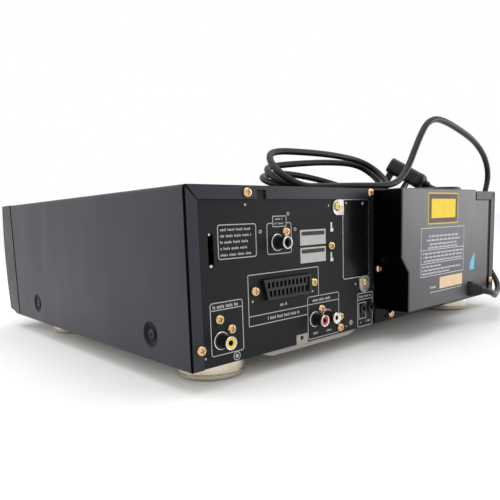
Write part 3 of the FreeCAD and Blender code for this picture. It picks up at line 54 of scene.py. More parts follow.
Point = tuple[float, float, float]
Colour = tuple[float, float, float]
Span = tuple[float, float]
Row = tuple[float, float, float, float]
Profile = list[tuple[float, float]]
Sheet = tuple[np.ndarray, bool]
Socket = bpy.types.NodeSocket

CASE_BODY = "player"
REAR_Y = 0.1597
PANEL_Y = 0.1585
BOX_Y = 0.1847
BASE_Z = 0.0153
SIDE_X = 0.2100
SIDE_SCREW_Y = (0.1131, -0.0963)
SIDE_SCREW_Z = BASE_Z + 0.0177
CENTRE = 1e-5


# ---------------------------------------------------------------- shader graphs

class Graph:
    """A material's node graph, built from one principled shader outwards."""

    def __init__(self, name: str) -> None:
        """Start an empty graph with its shader and output.

        Args:
            name: the material's name.
        """
        self.material = bpy.data.materials.new(name)
        self.material.use_nodes = True
        self.nodes = self.material.node_tree.nodes
        self.links = self.material.node_tree.links
        self.nodes.clear()
        self.shader = self.nodes.new("ShaderNodeBsdfPrincipled")
        output = self.nodes.new("ShaderNodeOutputMaterial")
        self.links.new(self.shader.outputs[0], output.inputs[0])

    def set(self, **values: object) -> None:
        """Set the shader's own sockets; underscores stand for spaces."""
        for name, value in values.items():
            self.shader.inputs[name.replace("_", " ")].default_value = value

    def add(self, kind: str, **inputs: object) -> bpy.types.Node:
        """Add a node.

        Args:
            kind: the node's type without its ShaderNode prefix.
            inputs: sockets by name, each a value or another node's output.

        Returns:
            The new node.
        """
        node = self.nodes.new("ShaderNode" + kind)
        for name, value in inputs.items():
            self.feed(node.inputs[name.replace("_", " ")], value)
        return node

    def feed(self, socket: Socket, value: object) -> None:
        """Link an output into a socket, or set the socket's value.

        Args:
            socket: the input.
            value: another node's output, or a plain value.
        """
        if isinstance(value, Socket):
            self.links.new(value, socket)
        else:
            socket.default_value = value

    def here(self) -> Socket:
        """Object coordinates in metres."""
        return self.add("TexCoord").outputs["Object"]

    def axes(self) -> list[Socket]:
        """Object coordinates, one output for each axis."""
        return list(self.add("SeparateXYZ", Vector=self.here()).outputs)

    def place(self, scale: Point = (1.0, 1.0, 1.0)) -> Socket:
        """Object coordinates, stretched by a scale on each axis."""
        return self.add("Mapping", Vector=self.here(), Scale=scale).outputs[0]

    def noise(self, scale: float, detail: float = 3.0, at: Socket | None = None,
              rough: float = 0.5) -> Socket:
        """Fractal noise between 0 and 1; scale is in features per metre."""
        return self.add("TexNoise", Vector=at or self.place(), Scale=scale, Detail=detail,
                        Roughness=rough).outputs[0]

    def remap(self, value: Socket, low: float, high: float, out_low: float = 0.0,
              out_high: float = 1.0) -> Socket:
        """Spread a value between two levels linearly onto two others, and clamp it."""
        return self.add("MapRange", Value=value, From_Min=low, From_Max=high, To_Min=out_low,
                        To_Max=out_high).outputs[0]

    def step(self, kind: str, operation: str, *values: object) -> bpy.types.Node:
        """Add an arithmetic node and feed its inputs in order.

        Args:
            kind: the node's type without its ShaderNode prefix.
            operation: what the node works out.
            values: its inputs in order, each a value or an output.

        Returns:
            The new node.
        """
        node = self.nodes.new("ShaderNode" + kind)
        node.operation = operation
        for socket, value in zip(node.inputs, values):
            self.feed(socket, value)
        return node

    def math(self, operation: str, first: object, second: object = 0.0) -> Socket:
        """One arithmetic step on two values."""
        return self.step("Math", operation, first, second).outputs[0]

    def product(self, first: object, *factors: object) -> Socket:
        """The product of several values.

        Args:
            first: a value or an output.
            factors: what it is multiplied by, in order.

        Returns:
            The last product's output.
        """
        for factor in factors:
            first = self.math("MULTIPLY", first, factor)
        return first

    def blend(self, share: Socket, first: object, second: object) -> Socket:
        """Mix two colours; each is a colour or an output.

        Args:
            share: how much of the second shows, from 0 to 1.
            first: the colour at 0.
            second: the colour at 1.

        Returns:
            The mixed colour.
        """
        node = self.nodes.new("ShaderNodeMix")
        node.data_type = "RGBA"
        self.feed(node.inputs["Factor"], share)
        for socket, value in ((node.inputs[6], first), (node.inputs[7], second)):
            self.feed(socket, (*value, 1.0) if isinstance(value, tuple) else value)
        return node.outputs[2]

    def mottle(self, value: Socket, low: float, high: float, tint: Colour, spread: float) -> Socket:
        """A tint that goes from darker to lighter by a share as a value passes two levels."""
        return self.blend(self.remap(value, low, high), shade(tint, 1 - spread),
                          shade(tint, 1 + spread))

    def bump(self, height: Socket, distance: float, strength: float = 1.0) -> Socket:
        """Turn a height into a shaded relief of a given depth in metres."""
        return self.add("Bump", Height=height, Distance=distance, Strength=strength).outputs[0]

    def finish(self, colour: Socket, roughness: Socket,
               normal: Socket | None = None) -> bpy.types.Material:
        """Feed the varying sockets of the shader and give back the material.

        Args:
            colour: the base colour.
            roughness: how dull the surface is.
            normal: its relief, where it has one.

        Returns:
            The finished material.
        """
        for name, value in (("Base Color", colour), ("Roughness", roughness), ("Normal", normal)):
            if value is not None:
                self.feed(self.shader.inputs[name], value)
        return self.material


def shade(colour: Colour, factor: float) -> Colour:
    """A colour made darker or lighter by a factor."""
    return tuple(min(1.0, part * factor) for part in colour)


# ---------------------------------------------------------------- finishes

@dataclass(frozen=True)
class SatinPaint:
    """Stoved paint on sheet steel with a fine pebbled grain."""

    name: str
    tint: Colour
    roughness: float = 0.42
    grain: float = 1500.0
    depth: float = 0.00004
    mottle: float = 0.18
    gloss: float = 0.5

    def graph(self) -> tuple[Graph, Socket, Socket, Socket]:
        """The paint's graph with its colour, roughness and relief outputs.

        Returns:
            The graph, then its colour, its roughness and its relief.
        """
        g = Graph(self.name)
        cloud = g.noise(9.0, 4.0)
        fleck = g.noise(self.grain * 0.6, 2.0)
        tone = g.math("ADD", g.product(cloud, 0.7), g.product(fleck, 0.3))
        colour = g.mottle(tone, 0.3, 0.7, self.tint, self.mottle)
        smear = g.noise(28.0, 3.0, g.place((1.0, 1.0, 0.35)))
        roughness = g.remap(smear, 0.3, 0.75, self.roughness - 0.03, self.roughness + 0.06)
        relief = g.bump(g.noise(self.grain, 2.0), self.depth, 0.5)
        g.set(Specular_IOR_Level=self.gloss)
        return g, colour, roughness, relief

    def material(self) -> bpy.types.Material:
        """Build the paint."""
        g, colour, roughness, relief = self.graph()
        return g.finish(colour, roughness, relief)


@dataclass(frozen=True)
class FoldShadedPaint(SatinPaint):
    """Satin paint with painted shade: dark and dull along the upright folds at the back corners."""

    fold_x: float = 0.2100
    fold_y: float = REAR_Y
    reach: float = 0.0017
    core: float = 0.45
    # The colour of the painted shade along the folds
    dark: Colour = (0.003, 0.003, 0.003)

    def material(self) -> bpy.types.Material:
        """Build the paint; near the fold line, by distance in plan, it turns to a dull dark film of
        painted shade.

        Returns:
            The paint's material.
        """
        g, colour, roughness, relief = self.graph()
        x, y, _ = g.axes()
        aside = g.math("SUBTRACT", g.math("ABSOLUTE", x), self.fold_x)
        behind = g.math("SUBTRACT", y, self.fold_y)
        away = g.math("SQRT", g.math("ADD", g.product(aside, aside), g.product(behind, behind)))
        # Painted shade: a dark metallic film along the fold line stands in for the shade in the
        # bend
        near = g.remap(away, self.reach * self.core, self.reach, 1.0, 0.0)
        g.feed(g.shader.inputs["Metallic"], near)
        dull = g.math("MAXIMUM", roughness, near)
        return g.finish(g.blend(near, colour, self.dark), dull, relief)


@dataclass(frozen=True)
class WornAndShadedPaint(SatinPaint):
    """Satin paint rubbed through along one upright edge, with painted shade on its walls behind the
    outer face.
    """

    edge_x: float = -0.109
    face_y: float = BOX_Y
    top_z: float = 0.1280
    reach: float = 0.0015
    worn: Span = (0.0700, 0.0990)
    bare: Colour = (0.55, 0.54, 0.52)
    # The colour of the painted shade on the walls behind the outer face
    wall_shade: Colour = (0.0040, 0.0040, 0.0042)

    def material(self) -> bpy.types.Material:
        """Build the paint; bare metal shows where noise passes a level near the edge, and painted
        shade darkens the walls behind the outer face.

        Returns:
            The paint's material.
        """
        g, colour, roughness, relief = self.graph()
        x, y, z = g.axes()
        outer = g.remap(y, self.face_y - 0.0014, self.face_y - 0.0004)
        off_edge = g.math("ABSOLUTE", g.math("SUBTRACT", x, self.edge_x))
        near = g.remap(off_edge, 0.0, self.reach, 1.0, 0.0)
        low, high = self.worn
        span = g.product(g.remap(z, low, low + 0.004), g.remap(z, high - 0.012, high, 1.0, 0.0))
        chips = g.math("ADD", g.noise(260.0, 5.0, rough=0.7), g.product(span, 0.12))
        share = g.product(near, g.remap(chips, 0.56, 0.66), g.product(outer, span))
        below = g.remap(z, self.top_z - 0.001, self.top_z, 1.0, 0.0)
        beyond = g.remap(x, self.edge_x + 0.006, self.edge_x + 0.012)
        # Painted shade: below the top and beyond the worn edge, the walls behind the outer face
        # turn to a dark metallic film
        behind = g.product(g.math("SUBTRACT", 1.0, outer), below, beyond)
        g.feed(g.shader.inputs["Metallic"], behind)
        colour = g.blend(behind, g.blend(share, colour, self.bare), self.wall_shade)
        return g.finish(colour, roughness, relief)


@dataclass(frozen=True)
class Plated:
    """Plated or bare metal with fine streaks from rolling or turning."""

    name: str
    tint: Colour
    roughness: float = 0.28
    streak: Point = (1.0, 1.0, 12.0)
    spread: float = 0.12
    stain: float = 0.25
    blush: Colour | None = None

    def material(self) -> bpy.types.Material:
        """Build the metal; streaks and a slow stain vary both colour and roughness.

        Returns:
            The metal's material.
        """
        g = Graph(self.name)
        g.set(Metallic=1.0)
        streaks = g.noise(160.0, 4.0, g.place(self.streak))
        stain = g.remap(g.noise(45.0, 4.0, rough=0.6), 0.42, 0.72)
        colour = g.blend(stain, self.tint, shade(self.tint, 1 - self.stain))
        if self.blush is not None:
            colour = g.blend(g.remap(g.noise(31.0, 1.0), 0.40, 0.60), colour, self.blush)
        roughness = g.remap(streaks, 0.3, 0.7, self.roughness - self.spread / 2,
                            self.roughness + self.spread)
        return g.finish(colour, roughness, g.bump(streaks, 0.00003, 0.35))


@dataclass(frozen=True)
class Moulding:
    """Moulded plastic or rubber with a spark-eroded grain."""

    name: str
    tint: Colour
    roughness: float = 0.38
    grain: float = 2600.0
    depth: float = 0.00003
    gloss: float = 0.5
    haze: float = 0.12

    def material(self) -> bpy.types.Material:
        """Build the plastic; handling marks lift the roughness in patches.

        Returns:
            The plastic's material.
        """
        g = Graph(self.name)
        g.set(Specular_IOR_Level=self.gloss)
        patch = g.noise(38.0, 4.0)
        colour = g.mottle(patch, 0.35, 0.7, self.tint, self.haze)
        roughness = g.remap(patch, 0.35, 0.7, self.roughness, self.roughness + 0.12)
        return g.finish(colour, roughness, g.bump(g.noise(self.grain, 2.0), self.depth, 0.6))


@dataclass(frozen=True)
class SleevedPin(Plated):
    """Brass pins sleeved in black moulding for a length below the plug's face."""

    origin: Point = (-0.1890, 0.0904, 0.1393)
    normal: Point = (-0.231, 0.475, 0.849)
    sleeve: float = 0.0215
    black: Colour = (0.0045, 0.0045, 0.0050)

    def material(self) -> bpy.types.Material:
        """Build the pins; the depth below the plug's middle plane tells sleeve from metal.

        Returns:
            The pins' material.
        """
        g = Graph(self.name)
        offset = g.step("VectorMath", "SUBTRACT", g.here(), self.origin).outputs[0]
        depth = g.step("VectorMath", "DOT_PRODUCT", offset, self.normal).outputs["Value"]
        bare = g.remap(depth, -self.sleeve - 0.0002, -self.sleeve, 1.0, 0.0)
        stain = g.remap(g.noise(60.0, 4.0), 0.4, 0.7)
        metal = g.blend(stain, self.tint, shade(self.tint, 0.7))
        g.feed(g.shader.inputs["Metallic"], bare)
        return g.finish(g.blend(bare, self.black, metal),
                        g.remap(g.noise(300.0, 2.0), 0.3, 0.7, 0.20, 0.38),
                        g.bump(g.noise(900.0, 2.0), 0.00002, 0.4))


@dataclass(frozen=True)
class Laminate:
    """A lacquered circuit board: copper tracks under green lacquer and tinned pads."""

    name: str
    tint: Colour = (0.012, 0.075, 0.028)
    track: Colour = (0.03, 0.16, 0.06)
    pad: Colour = (0.62, 0.60, 0.55)

    def material(self) -> bpy.types.Material:
        """Build the laminate: brick joints give the tracks, cell centres the pads.

        Returns:
            The laminate's material.
        """
        g = Graph(self.name)
        black, white = (0.0, 0.0, 0.0, 1.0), (1.0, 1.0, 1.0, 1.0)
        tracks = g.add("TexBrick", Vector=g.place(), Scale=210.0, Mortar_Size=0.035,
                       Color1=black, Color2=black, Mortar=white).outputs["Color"]
        cells = g.add("TexVoronoi", Vector=g.place(), Scale=240.0).outputs["Distance"]
        pads = g.remap(cells, 0.10, 0.14, 1.0, 0.0)
        colour = g.blend(g.product(tracks, 0.8), self.tint, self.track)
        return g.finish(g.blend(pads, colour, self.pad), g.remap(pads, 0.0, 1.0, 0.34, 0.22),
                        g.bump(pads, 0.0002, 0.5))


@dataclass(frozen=True)
class Glass:
    """Tinted clear glass with faint wipe marks."""

    name: str
    tint: Colour
    clearness: float = 0.85

    def material(self) -> bpy.types.Material:
        """Build the glass.

        Returns:
            The glass's material.
        """
        g = Graph(self.name)
        g.set(IOR=1.5, Transmission_Weight=self.clearness)
        wipes = g.noise(60.0, 3.0, g.place((4.0, 1.0, 1.0)))
        colour = g.blend(g.remap(wipes, 0.3, 0.7), self.tint, shade(self.tint, 0.85))
        return g.finish(colour, g.remap(wipes, 0.3, 0.7, 0.03, 0.10))


@dataclass(frozen=True)
class Ink:
    """Screen-printed ink: a pale film with pinholes and a soft edge of wear."""

    name: str
    tint: Colour
    under: Colour
    roughness: float = 0.6

    def material(self) -> bpy.types.Material:
        """Build the ink; pinholes let the paint under it through.

        Returns:
            The ink's material.
        """
        g = Graph(self.name)
        holes = g.remap(g.noise(1900.0, 2.0), 0.66, 0.72)
        tone = g.remap(g.noise(120.0, 3.0), 0.3, 0.7)
        colour = g.blend(tone, shade(self.tint, 0.86), self.tint)
        return g.finish(g.blend(g.product(holes, 0.7), colour, self.under),
                        g.remap(tone, 0.0, 1.0, self.roughness - 0.08, self.roughness + 0.08),
                        g.bump(g.noise(900.0, 2.0), 0.00002, 0.5))


class Finish(Enum):
    """Every finish of the player, by the part that wears it."""

    # The case paint carries painted shade along its back folds
    CASE = FoldShadedPaint("case_paint", (0.0075, 0.0080, 0.0170), 0.42, 1300.0, 0.00005, 0.08, 0.40)
    PANEL = SatinPaint("panel_paint", (0.0058, 0.0062, 0.0076), 0.52, 1700.0, 0.00003, 0.10, 0.20)
    # The cover paint has real wear at one edge and painted shade on its walls behind the face
    COVER = WornAndShadedPaint("cover_paint", (0.0280, 0.0270, 0.0340), 0.38, 1300.0, 0.00005, 0.12, 0.66)
    # A darker copy of the case paint: painted shade in the dished screw seats
    SEAT = SatinPaint("seat_shade_paint", (0.0016, 0.0017, 0.0026), 0.50, 1300.0, 0.00005, 0.08, 0.15)
    WING = SatinPaint("wing_paint", (0.0190, 0.0180, 0.0240), 0.38, 1300.0, 0.00005, 0.12, 0.66)
    PAN = SatinPaint("pan_paint", (0.30, 0.28, 0.235), 0.42, 1000.0, 0.00003, 0.08)
    ZINC = Plated("zinc_plate", (0.56, 0.54, 0.49), 0.34, (3.0, 3.0, 3.0), 0.16, 0.18)
    GOLD = Plated("yellow_zinc", (0.66, 0.50, 0.22), 0.17, (6.0, 1.0, 6.0), 0.10, 0.45,
                  (0.70, 0.46, 0.27))
    BLACKED = Plated("blacked_steel", (0.045, 0.045, 0.050), 0.34, (6.0, 6.0, 6.0), 0.10, 0.20)
    FOOT = Plated("champagne_plate", (0.66, 0.60, 0.48), 0.26, (1.0, 1.0, 26.0), 0.12, 0.22)
    NICKEL = Plated("nickel_plate", (0.74, 0.72, 0.67), 0.18, (4.0, 14.0, 4.0), 0.08, 0.15)
    CAN = Plated("motor_can", (0.58, 0.58, 0.57), 0.30, (1.0, 1.0, 16.0), 0.12, 0.15)
    TURNED_BRASS = Plated("turned_brass", (0.78, 0.60, 0.28), 0.22, (1.0, 1.0, 20.0), 0.10, 0.20)
    FRONT = Moulding("front_moulding", (0.0100, 0.0100, 0.0125), 0.38, 2400.0, 0.00003, 0.40)
    SMOKED = Moulding("smoked_window", (0.004, 0.004, 0.006), 0.06, 400.0, 0.000004, 0.20, 0.05)
    PINS = SleevedPin("sleeved_pins", (0.78, 0.60, 0.28))
    KEY = Moulding("key_moulding", (0.050, 0.050, 0.055), 0.34, 3200.0)
    GLOSS_BLACK = Moulding("gloss_plate", (0.0030, 0.0030, 0.0036), 0.22, 300.0, 0.000006, 0.16,
                           0.05)
    BLACK = Moulding("black_moulding", (0.0045, 0.0045, 0.0050), 0.34, 2800.0, 0.00003, 0.40)
    GREY = Moulding("grey_moulding", (0.20, 0.20, 0.21), 0.42, 2200.0)
    GEAR = Moulding("natural_nylon", (0.74, 0.72, 0.64), 0.40, 1800.0, 0.00003, 0.5, 0.05)
    YELLOW = Moulding("yellow_insert", (0.80, 0.55, 0.04), 0.25, 900.0, 0.00001, 0.5, 0.06)
    RED = Moulding("red_insert", (0.52, 0.02, 0.03), 0.25, 900.0, 0.00001, 0.5, 0.06)
    WHITE = Moulding("ivory_insert", (0.78, 0.75, 0.65), 0.28, 900.0, 0.00001, 0.5, 0.06)
    RUBBER = Moulding("foot_rubber", (0.020, 0.019, 0.018), 0.72, 1500.0, 0.00008, 0.3)
    BELT = Moulding("belt_rubber", (0.015, 0.015, 0.015), 0.60, 2000.0, 0.00004, 0.3)
    VINYL = Moulding("lead_vinyl", (0.0040, 0.0040, 0.0046), 0.36, 1200.0, 0.00003, 0.36, 0.20)
    BOARD = Laminate("circuit_board")
    SLEEVE = Moulding("capacitor_sleeve", (0.02, 0.03, 0.09), 0.22, 500.0, 0.00001)
    IRON = SatinPaint("core_varnish", (0.11, 0.09, 0.06), 0.38, 900.0, 0.00006)
    TUBE = Glass("display_glass", (0.42, 0.50, 0.48), 0.55)
    LENS = Glass("coated_lens", (0.45, 0.55, 0.85), 0.9)
    PRINT = Ink("panel_print", (0.40, 0.40, 0.40), (0.01, 0.01, 0.01))
    COVER_PRINT = Ink("cover_print", (0.66, 0.66, 0.70), (0.02, 0.02, 0.025))
    PLATE = Ink("pale_plate", (0.44, 0.44, 0.42), (0.20, 0.20, 0.20))
    PLATE_DARK = Ink("plate_band", (0.020, 0.020, 0.022), (0.01, 0.01, 0.01))
    AMBER = Ink("amber_border", (0.66, 0.42, 0.07), (0.5, 0.3, 0.05))
    TAUPE = Ink("taupe_band", (0.085, 0.075, 0.060), (0.05, 0.045, 0.04))
    LEMON = Ink("lemon_field", (0.84, 0.60, 0.012), (0.7, 0.5, 0.01))
    CREAM = Ink("cream_paper", (0.76, 0.56, 0.34), (0.6, 0.42, 0.26))
    SKY = Ink("sky_tab", (0.13, 0.50, 0.72), (0.1, 0.4, 0.6))
    LAMP = Moulding("indicator_lamp", (0.35, 0.02, 0.02), 0.15, 400.0, 0.00001)

    @property
    def made(self) -> bpy.types.Material:
        """The finish's material, built once."""
        found = bpy.data.materials.get(self.value.name)
        return found or self.value.material()


CARRIED: dict[Finish, tuple[str, ...]] = {
    Finish.CASE: ("bonnet_cover",),
    Finish.PAN: ("chassis_base",),
    Finish.FRONT: ("front_panel", "tray_door"),
    Finish.PANEL: ("rear_panel",),
    Finish.COVER: ("mechanism_rear_cover",),
    Finish.GLOSS_BLACK: ("blanking_plate",),
    Finish.ZINC: ("plate_clips", "mech_frame", "clamp_bridge", "clamp_arm"),
    Finish.RUBBER: ("foot_pads",),
    Finish.BLACK: ("scart_socket", "jack_blocks", "black_jack_insulator", "control_jacks",
                   "disc_tray", "clamper", "turntable", "cord_bushing"),
    Finish.YELLOW: ("yellow_jack_insulator",),
    Finish.RED: ("red_jack_insulator",),
    Finish.WHITE: ("white_jack_insulator",),
    Finish.SMOKED: ("display_window",),
    Finish.TUBE: ("display_tube",),
    Finish.BOARD: ("front_board", "main_board", "connector_board", "power_board"),
    Finish.KEY: ("power_button", "open_close_button", "play_button", "pause_button",
                 "stop_button", "skip_back_button", "skip_forward_button", "side_select_button"),
    Finish.GEAR: ("tray_guides", "tray_gear", "pulley_gear"),
    Finish.BELT: ("drive_belt",),
    Finish.TURNED_BRASS: ("motor_pulley",),
    Finish.CAN: ("loading_motor", "spindle_motor", "feed_motor"),
    Finish.GREY: ("turn_rails", "pickup_carriage"),
    Finish.LENS: ("pickup_lens",),
    Finish.SLEEVE: ("filter_capacitors",),
    Finish.IRON: ("power_transformer",),
    Finish.PINS: ("plug_pins",),
}


# ---------------------------------------------------------------- surfaces

def sheet_faces(rows: int, columns: int, wrap: bool) -> np.ndarray:
    """Quads of a grid whose vertices run row by row; wrap joins the last column to the first.

    Args:
        rows: how many rows the grid has.
        columns: how many vertices a row has.
        wrap: whether the last column joins the first.

    Returns:
        Vertex numbers, four to a row.
    """
    row, column = np.meshgrid(np.arange(rows - 1), np.arange(columns if wrap else columns - 1),
                              indexing="ij")
    here = row * columns + column
    beside = row * columns + (column + 1) % columns
    return np.stack([here, beside, beside + columns, here + columns], axis=-1).reshape(-1, 4)


def stand(name: str, data: bpy.types.ID) -> bpy.types.Object:
    """Put a mesh, a curve, a light or a camera into the scene as an object.

    Args:
        name: the object's name.
        data: what it holds.

    Returns:
        The linked object.
    """
    piece = bpy.data.objects.new(name, data)
    bpy.context.scene.collection.objects.link(piece)
    return piece


def close_seams(mesh: bpy.types.Mesh) -> None:
    """Merge doubles, drop flat faces and turn the normals outward.

    Args:
        mesh: the mesh, which is changed in place.
    """
    shell = bmesh.new()
    shell.from_mesh(mesh)
    bmesh.ops.remove_doubles(shell, verts=shell.verts, dist=1e-6)
    bmesh.ops.dissolve_degenerate(shell, edges=shell.edges, dist=1e-7)
    bmesh.ops.recalc_face_normals(shell, faces=shell.faces)
    shell.to_mesh(mesh)
    shell.free()


def gather(name: str, sheets: list[Sheet]) -> bpy.types.Object:
    """Join several grids, each a (rows, columns, 3) array with its wrap flag, into one piece.

    Args:
        name: the piece's name.
        sheets: the grids with their wrap flags.

    Returns:
        The linked piece, its doubles merged and its normals outward.
    """
    points, faces, start = [], [], 0
    for grid, wrap in sheets:
        faces.append(sheet_faces(*grid.shape[:2], wrap) + start)
        points.append(grid.reshape(-1, 3))
        start += len(points[-1])
    mesh = bpy.data.meshes.new(name)
    mesh.from_pydata(np.concatenate(points).tolist(), [], np.concatenate(faces).tolist())
    close_seams(mesh)
    return stand(name, mesh)


def dress(piece: bpy.types.Object, finish: Finish, body: str,
          smooth: float = 35.0, replaces: tuple[str, ...] = ()) -> bpy.types.Object:
    """Finish a piece and let it ride.

    Args:
        piece: the new object.
        finish: its material.
        body: the body that it rides on.
        smooth: edges turned less than this many degrees are shaded smooth.
        replaces: the nodes that it stands for.

    Returns:
        The same piece.
    """
    if piece.type == "MESH":
        piece.data.shade_smooth()
        piece.data.set_sharp_from_angle(angle=math.radians(smooth))
    piece.data.materials.append(finish.made)
    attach(piece, body)
    if replaces:
        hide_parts(*replaces)
    log.info("%s rides on %s", piece.name, body)
    return piece


def fit(name: str, sheets: list[Sheet], finish: Finish, smooth: float = 35.0,
        replaces: tuple[str, ...] = (), body: str = CASE_BODY) -> bpy.types.Object:
    """Join grids into one piece and dress it, on the case unless another body is named."""
    return dress(gather(name, sheets), finish, body, smooth, replaces)


def turned(profile: Profile, columns: int = 48) -> np.ndarray:
    """A surface of revolution about +Z.

    Each profile point (r, z) sweeps to (r cos a, r sin a, z) as a goes once round.

    Args:
        profile: radius and height of each point, in metres.
        columns: steps in one turn.

    Returns:
        A grid of profile points by steps.
    """
    radius, height = np.array(profile).T
    angle = np.linspace(0.0, 2 * np.pi, columns, endpoint=False)
    grid = np.empty((len(profile), columns, 3))
    grid[..., 0] = radius[:, None] * np.cos(angle)
    grid[..., 1] = radius[:, None] * np.sin(angle)
    grid[..., 2] = height[:, None]
    return grid


class Facing(Enum):
    """The way that a piece's own +Z points on the player."""

    BACK = Matrix(((-1, 0, 0), (0, 0, 1), (0, 1, 0)))
    FRONT = Matrix(((1, 0, 0), (0, 0, -1), (0, 1, 0)))
    LEFT = Matrix(((0, 0, 1), (1, 0, 0), (0, 1, 0)))
    RIGHT = Matrix(((0, 0, -1), (-1, 0, 0), (0, 1, 0)))

    def set_at(self, grid: np.ndarray, place: Point) -> np.ndarray:
        """Turn a grid's own axes to the player's and carry it to its place."""
        return grid @ np.array(self.value).T + np.array(place)


def rounded_outline(width: float, height: float, radius: float, steps: int = 6) -> np.ndarray:
    """A closed rectangle with round corners, centred on the origin.

    Each corner is a quarter turn of the radius about a centre set in by the radius.

    Args:
        width: across, in metres.
        height: up, in metres.
        radius: of each corner, in metres.
        steps: points on each corner.

    Returns:
        The outline, one (x, y) a row.
    """
    quarter = np.linspace(0.0, np.pi / 2, steps)
    corners = []
    for number, (sx, sy) in enumerate(((1, 1), (-1, 1), (-1, -1), (1, -1))):
        turn = quarter + number * np.pi / 2
        centre = np.array([sx * (width / 2 - radius), sy * (height / 2 - radius)])
        corners.append(centre + radius * np.stack([np.cos(turn), np.sin(turn)], axis=-1))
    return np.concatenate(corners)


def circle(radius: float, steps: int) -> np.ndarray:
    """A closed circle about the origin, one (x, y) a row."""
    turn = np.linspace(0.0, 2 * np.pi, steps, endpoint=False)
    return radius * np.stack([np.cos(turn), np.sin(turn)], axis=-1)


def plate(outline: np.ndarray, thickness: float, edge: float = 0.25) -> np.ndarray:
    """A thin plate: rows run from its centre over the face, round the edge and down.

    Args:
        outline: a closed outline, one (x, y) a row.
        thickness: from the plate's foot at Z 0 to its face.
        edge: the share of the thickness that the rounded edge takes.

    Returns:
        A grid of rows by outline points; the first row is the centre itself.
    """
    centre = outline.mean(axis=0)
    drop = thickness * edge
    inward = (outline - centre) / np.linalg.norm(outline - centre, axis=1, keepdims=True)
    rings = [(np.repeat(centre[None], len(outline), axis=0), thickness)]
    rings += [(outline - inward * drop * inset, thickness - drop * fall)
              for inset, fall in ((1.7, 0.0), (1.0, 0.0), (0.3, 0.3), (0.0, 1.0))]
    rings.append((outline, 0.0))
    grid = np.empty((len(rings), len(outline), 3))
    for row, (ring, height) in enumerate(rings):
        grid[row, :, :2], grid[row, :, 2] = ring, height
    return grid


def line_loop(outline: np.ndarray, width: float, thickness: float) -> np.ndarray:
    """A printed line along a closed outline: a low bar whose section goes once round.

    Args:
        outline: a closed outline, one (x, y) a row.
        width: the line's width.
        thickness: the ink's height over the face.

    Returns:
        A grid of the section's points by the outline's.
    """
    ahead = np.roll(outline, -1, axis=0) - np.roll(outline, 1, axis=0)
    ahead /= np.linalg.norm(ahead, axis=1, keepdims=True)
    side = np.stack([ahead[:, 1], -ahead[:, 0]], axis=-1) * width / 2
    section = [(1.0, 0.0), (1.0, thickness), (-1.0, thickness), (-1.0, 0.0), (1.0, 0.0)]
    grid = np.empty((len(section), len(outline), 3))
    for row, (share, height) in enumerate(section):
        grid[row, :, :2], grid[row, :, 2] = outline + side * share, height
    return grid


def box_line(start: Span, end: Span, width: float, thickness: float) -> np.ndarray:
    """A straight printed line as a plate with square ends.

    Args:
        start: the middle of one end.
        end: the middle of the other end.
        width: the line's width.
        thickness: the ink's height over the face.

    Returns:
        A grid, laid out as a plate is.
    """
    first, last = np.array(start), np.array(end)
    ahead = (last - first) / np.linalg.norm(last - first)
    side = np.array([ahead[1], -ahead[0]]) * width / 2
    corners = np.array([first + side, first - side, last - side, last + side])[::-1]
    return plate(corners, thickness, 0.1)


# ---------------------------------------------------------------- places on the back
# Places and sizes in this part are in millimetres: across from the middle, up from the base.

def on_back(grid: np.ndarray, x: float, z: float, face: float = PANEL_Y) -> Sheet:
    """A grid set on the back with its own +Z pointing out of the face."""
    return Facing.BACK.set_at(grid, (x / 1000, face, BASE_Z + z / 1000)), True


def frame_on_back(box: Row, corner: float, line: float, film: float,
                  face: float = PANEL_Y) -> Sheet:
    """A round-cornered frame from its two sides, its foot and its head.

    Args:
        box: its two sides, its foot and its head.
        corner: the corners' radius.
        line: the line's width, in metres.
        film: the ink's thickness, in metres.
        face: where the face lies along Y, in metres.

    Returns:
        The frame with its wrap flag.
    """
    x0, x1, z0, z1 = box
    outline = rounded_outline((x1 - x0) / 1000, (z1 - z0) / 1000, corner / 1000)
    return on_back(line_loop(outline, line, film), (x0 + x1) / 2, (z0 + z1) / 2, face)


def rule_on_back(x0: float, x1: float, z: float, line: float, film: float,
                 face: float = PANEL_Y) -> Sheet:
    """A level rule between two places."""
    half = (x1 - x0) / 2000
    return on_back(box_line((-half, 0), (half, 0), line, film), (x0 + x1) / 2, z, face)


TICK_SHAPES: tuple[Span, ...] = (
    (0.62, 1.0), (0.95, 0.74), (0.70, 0.74), (0.52, 1.0), (0.90, 0.74), (0.78, 0.74))
TICK_GAP, WORD_GAP, WORD_LENGTH = 0.42, 1.5, 5


def ticks(low: float, high: float, level: float, tall: float, face: float,
          film: float) -> list[Sheet]:
    """A row of plain upright ticks in uneven groups, where lettering would stand.

    Args:
        low: the row's end towards -X.
        high: its end towards +X.
        level: the row's middle above the case's base.
        tall: the height of its tallest ticks.
        face: where the printed face lies along Y, in metres.
        film: the ink's thickness, in metres.

    Returns:
        The ticks, each a thin plate with its wrap flag.
    """
    sheets, at, number = [], high, int(level)
    while at - 0.9 > low:
        wide, share = TICK_SHAPES[(number * 5 + int(at)) % len(TICK_SHAPES)]
        outline = rounded_outline(wide / 1000, tall * share / 1000, 0.00012, 2)
        sheets.append(on_back(plate(outline, film), at - wide / 2,
                              level - tall * (1 - share) / 2, face))
        number += 1
        at -= wide + (WORD_GAP if number % WORD_LENGTH == 0 else TICK_GAP)
    return sheets


# ---------------------------------------------------------------- mains lead

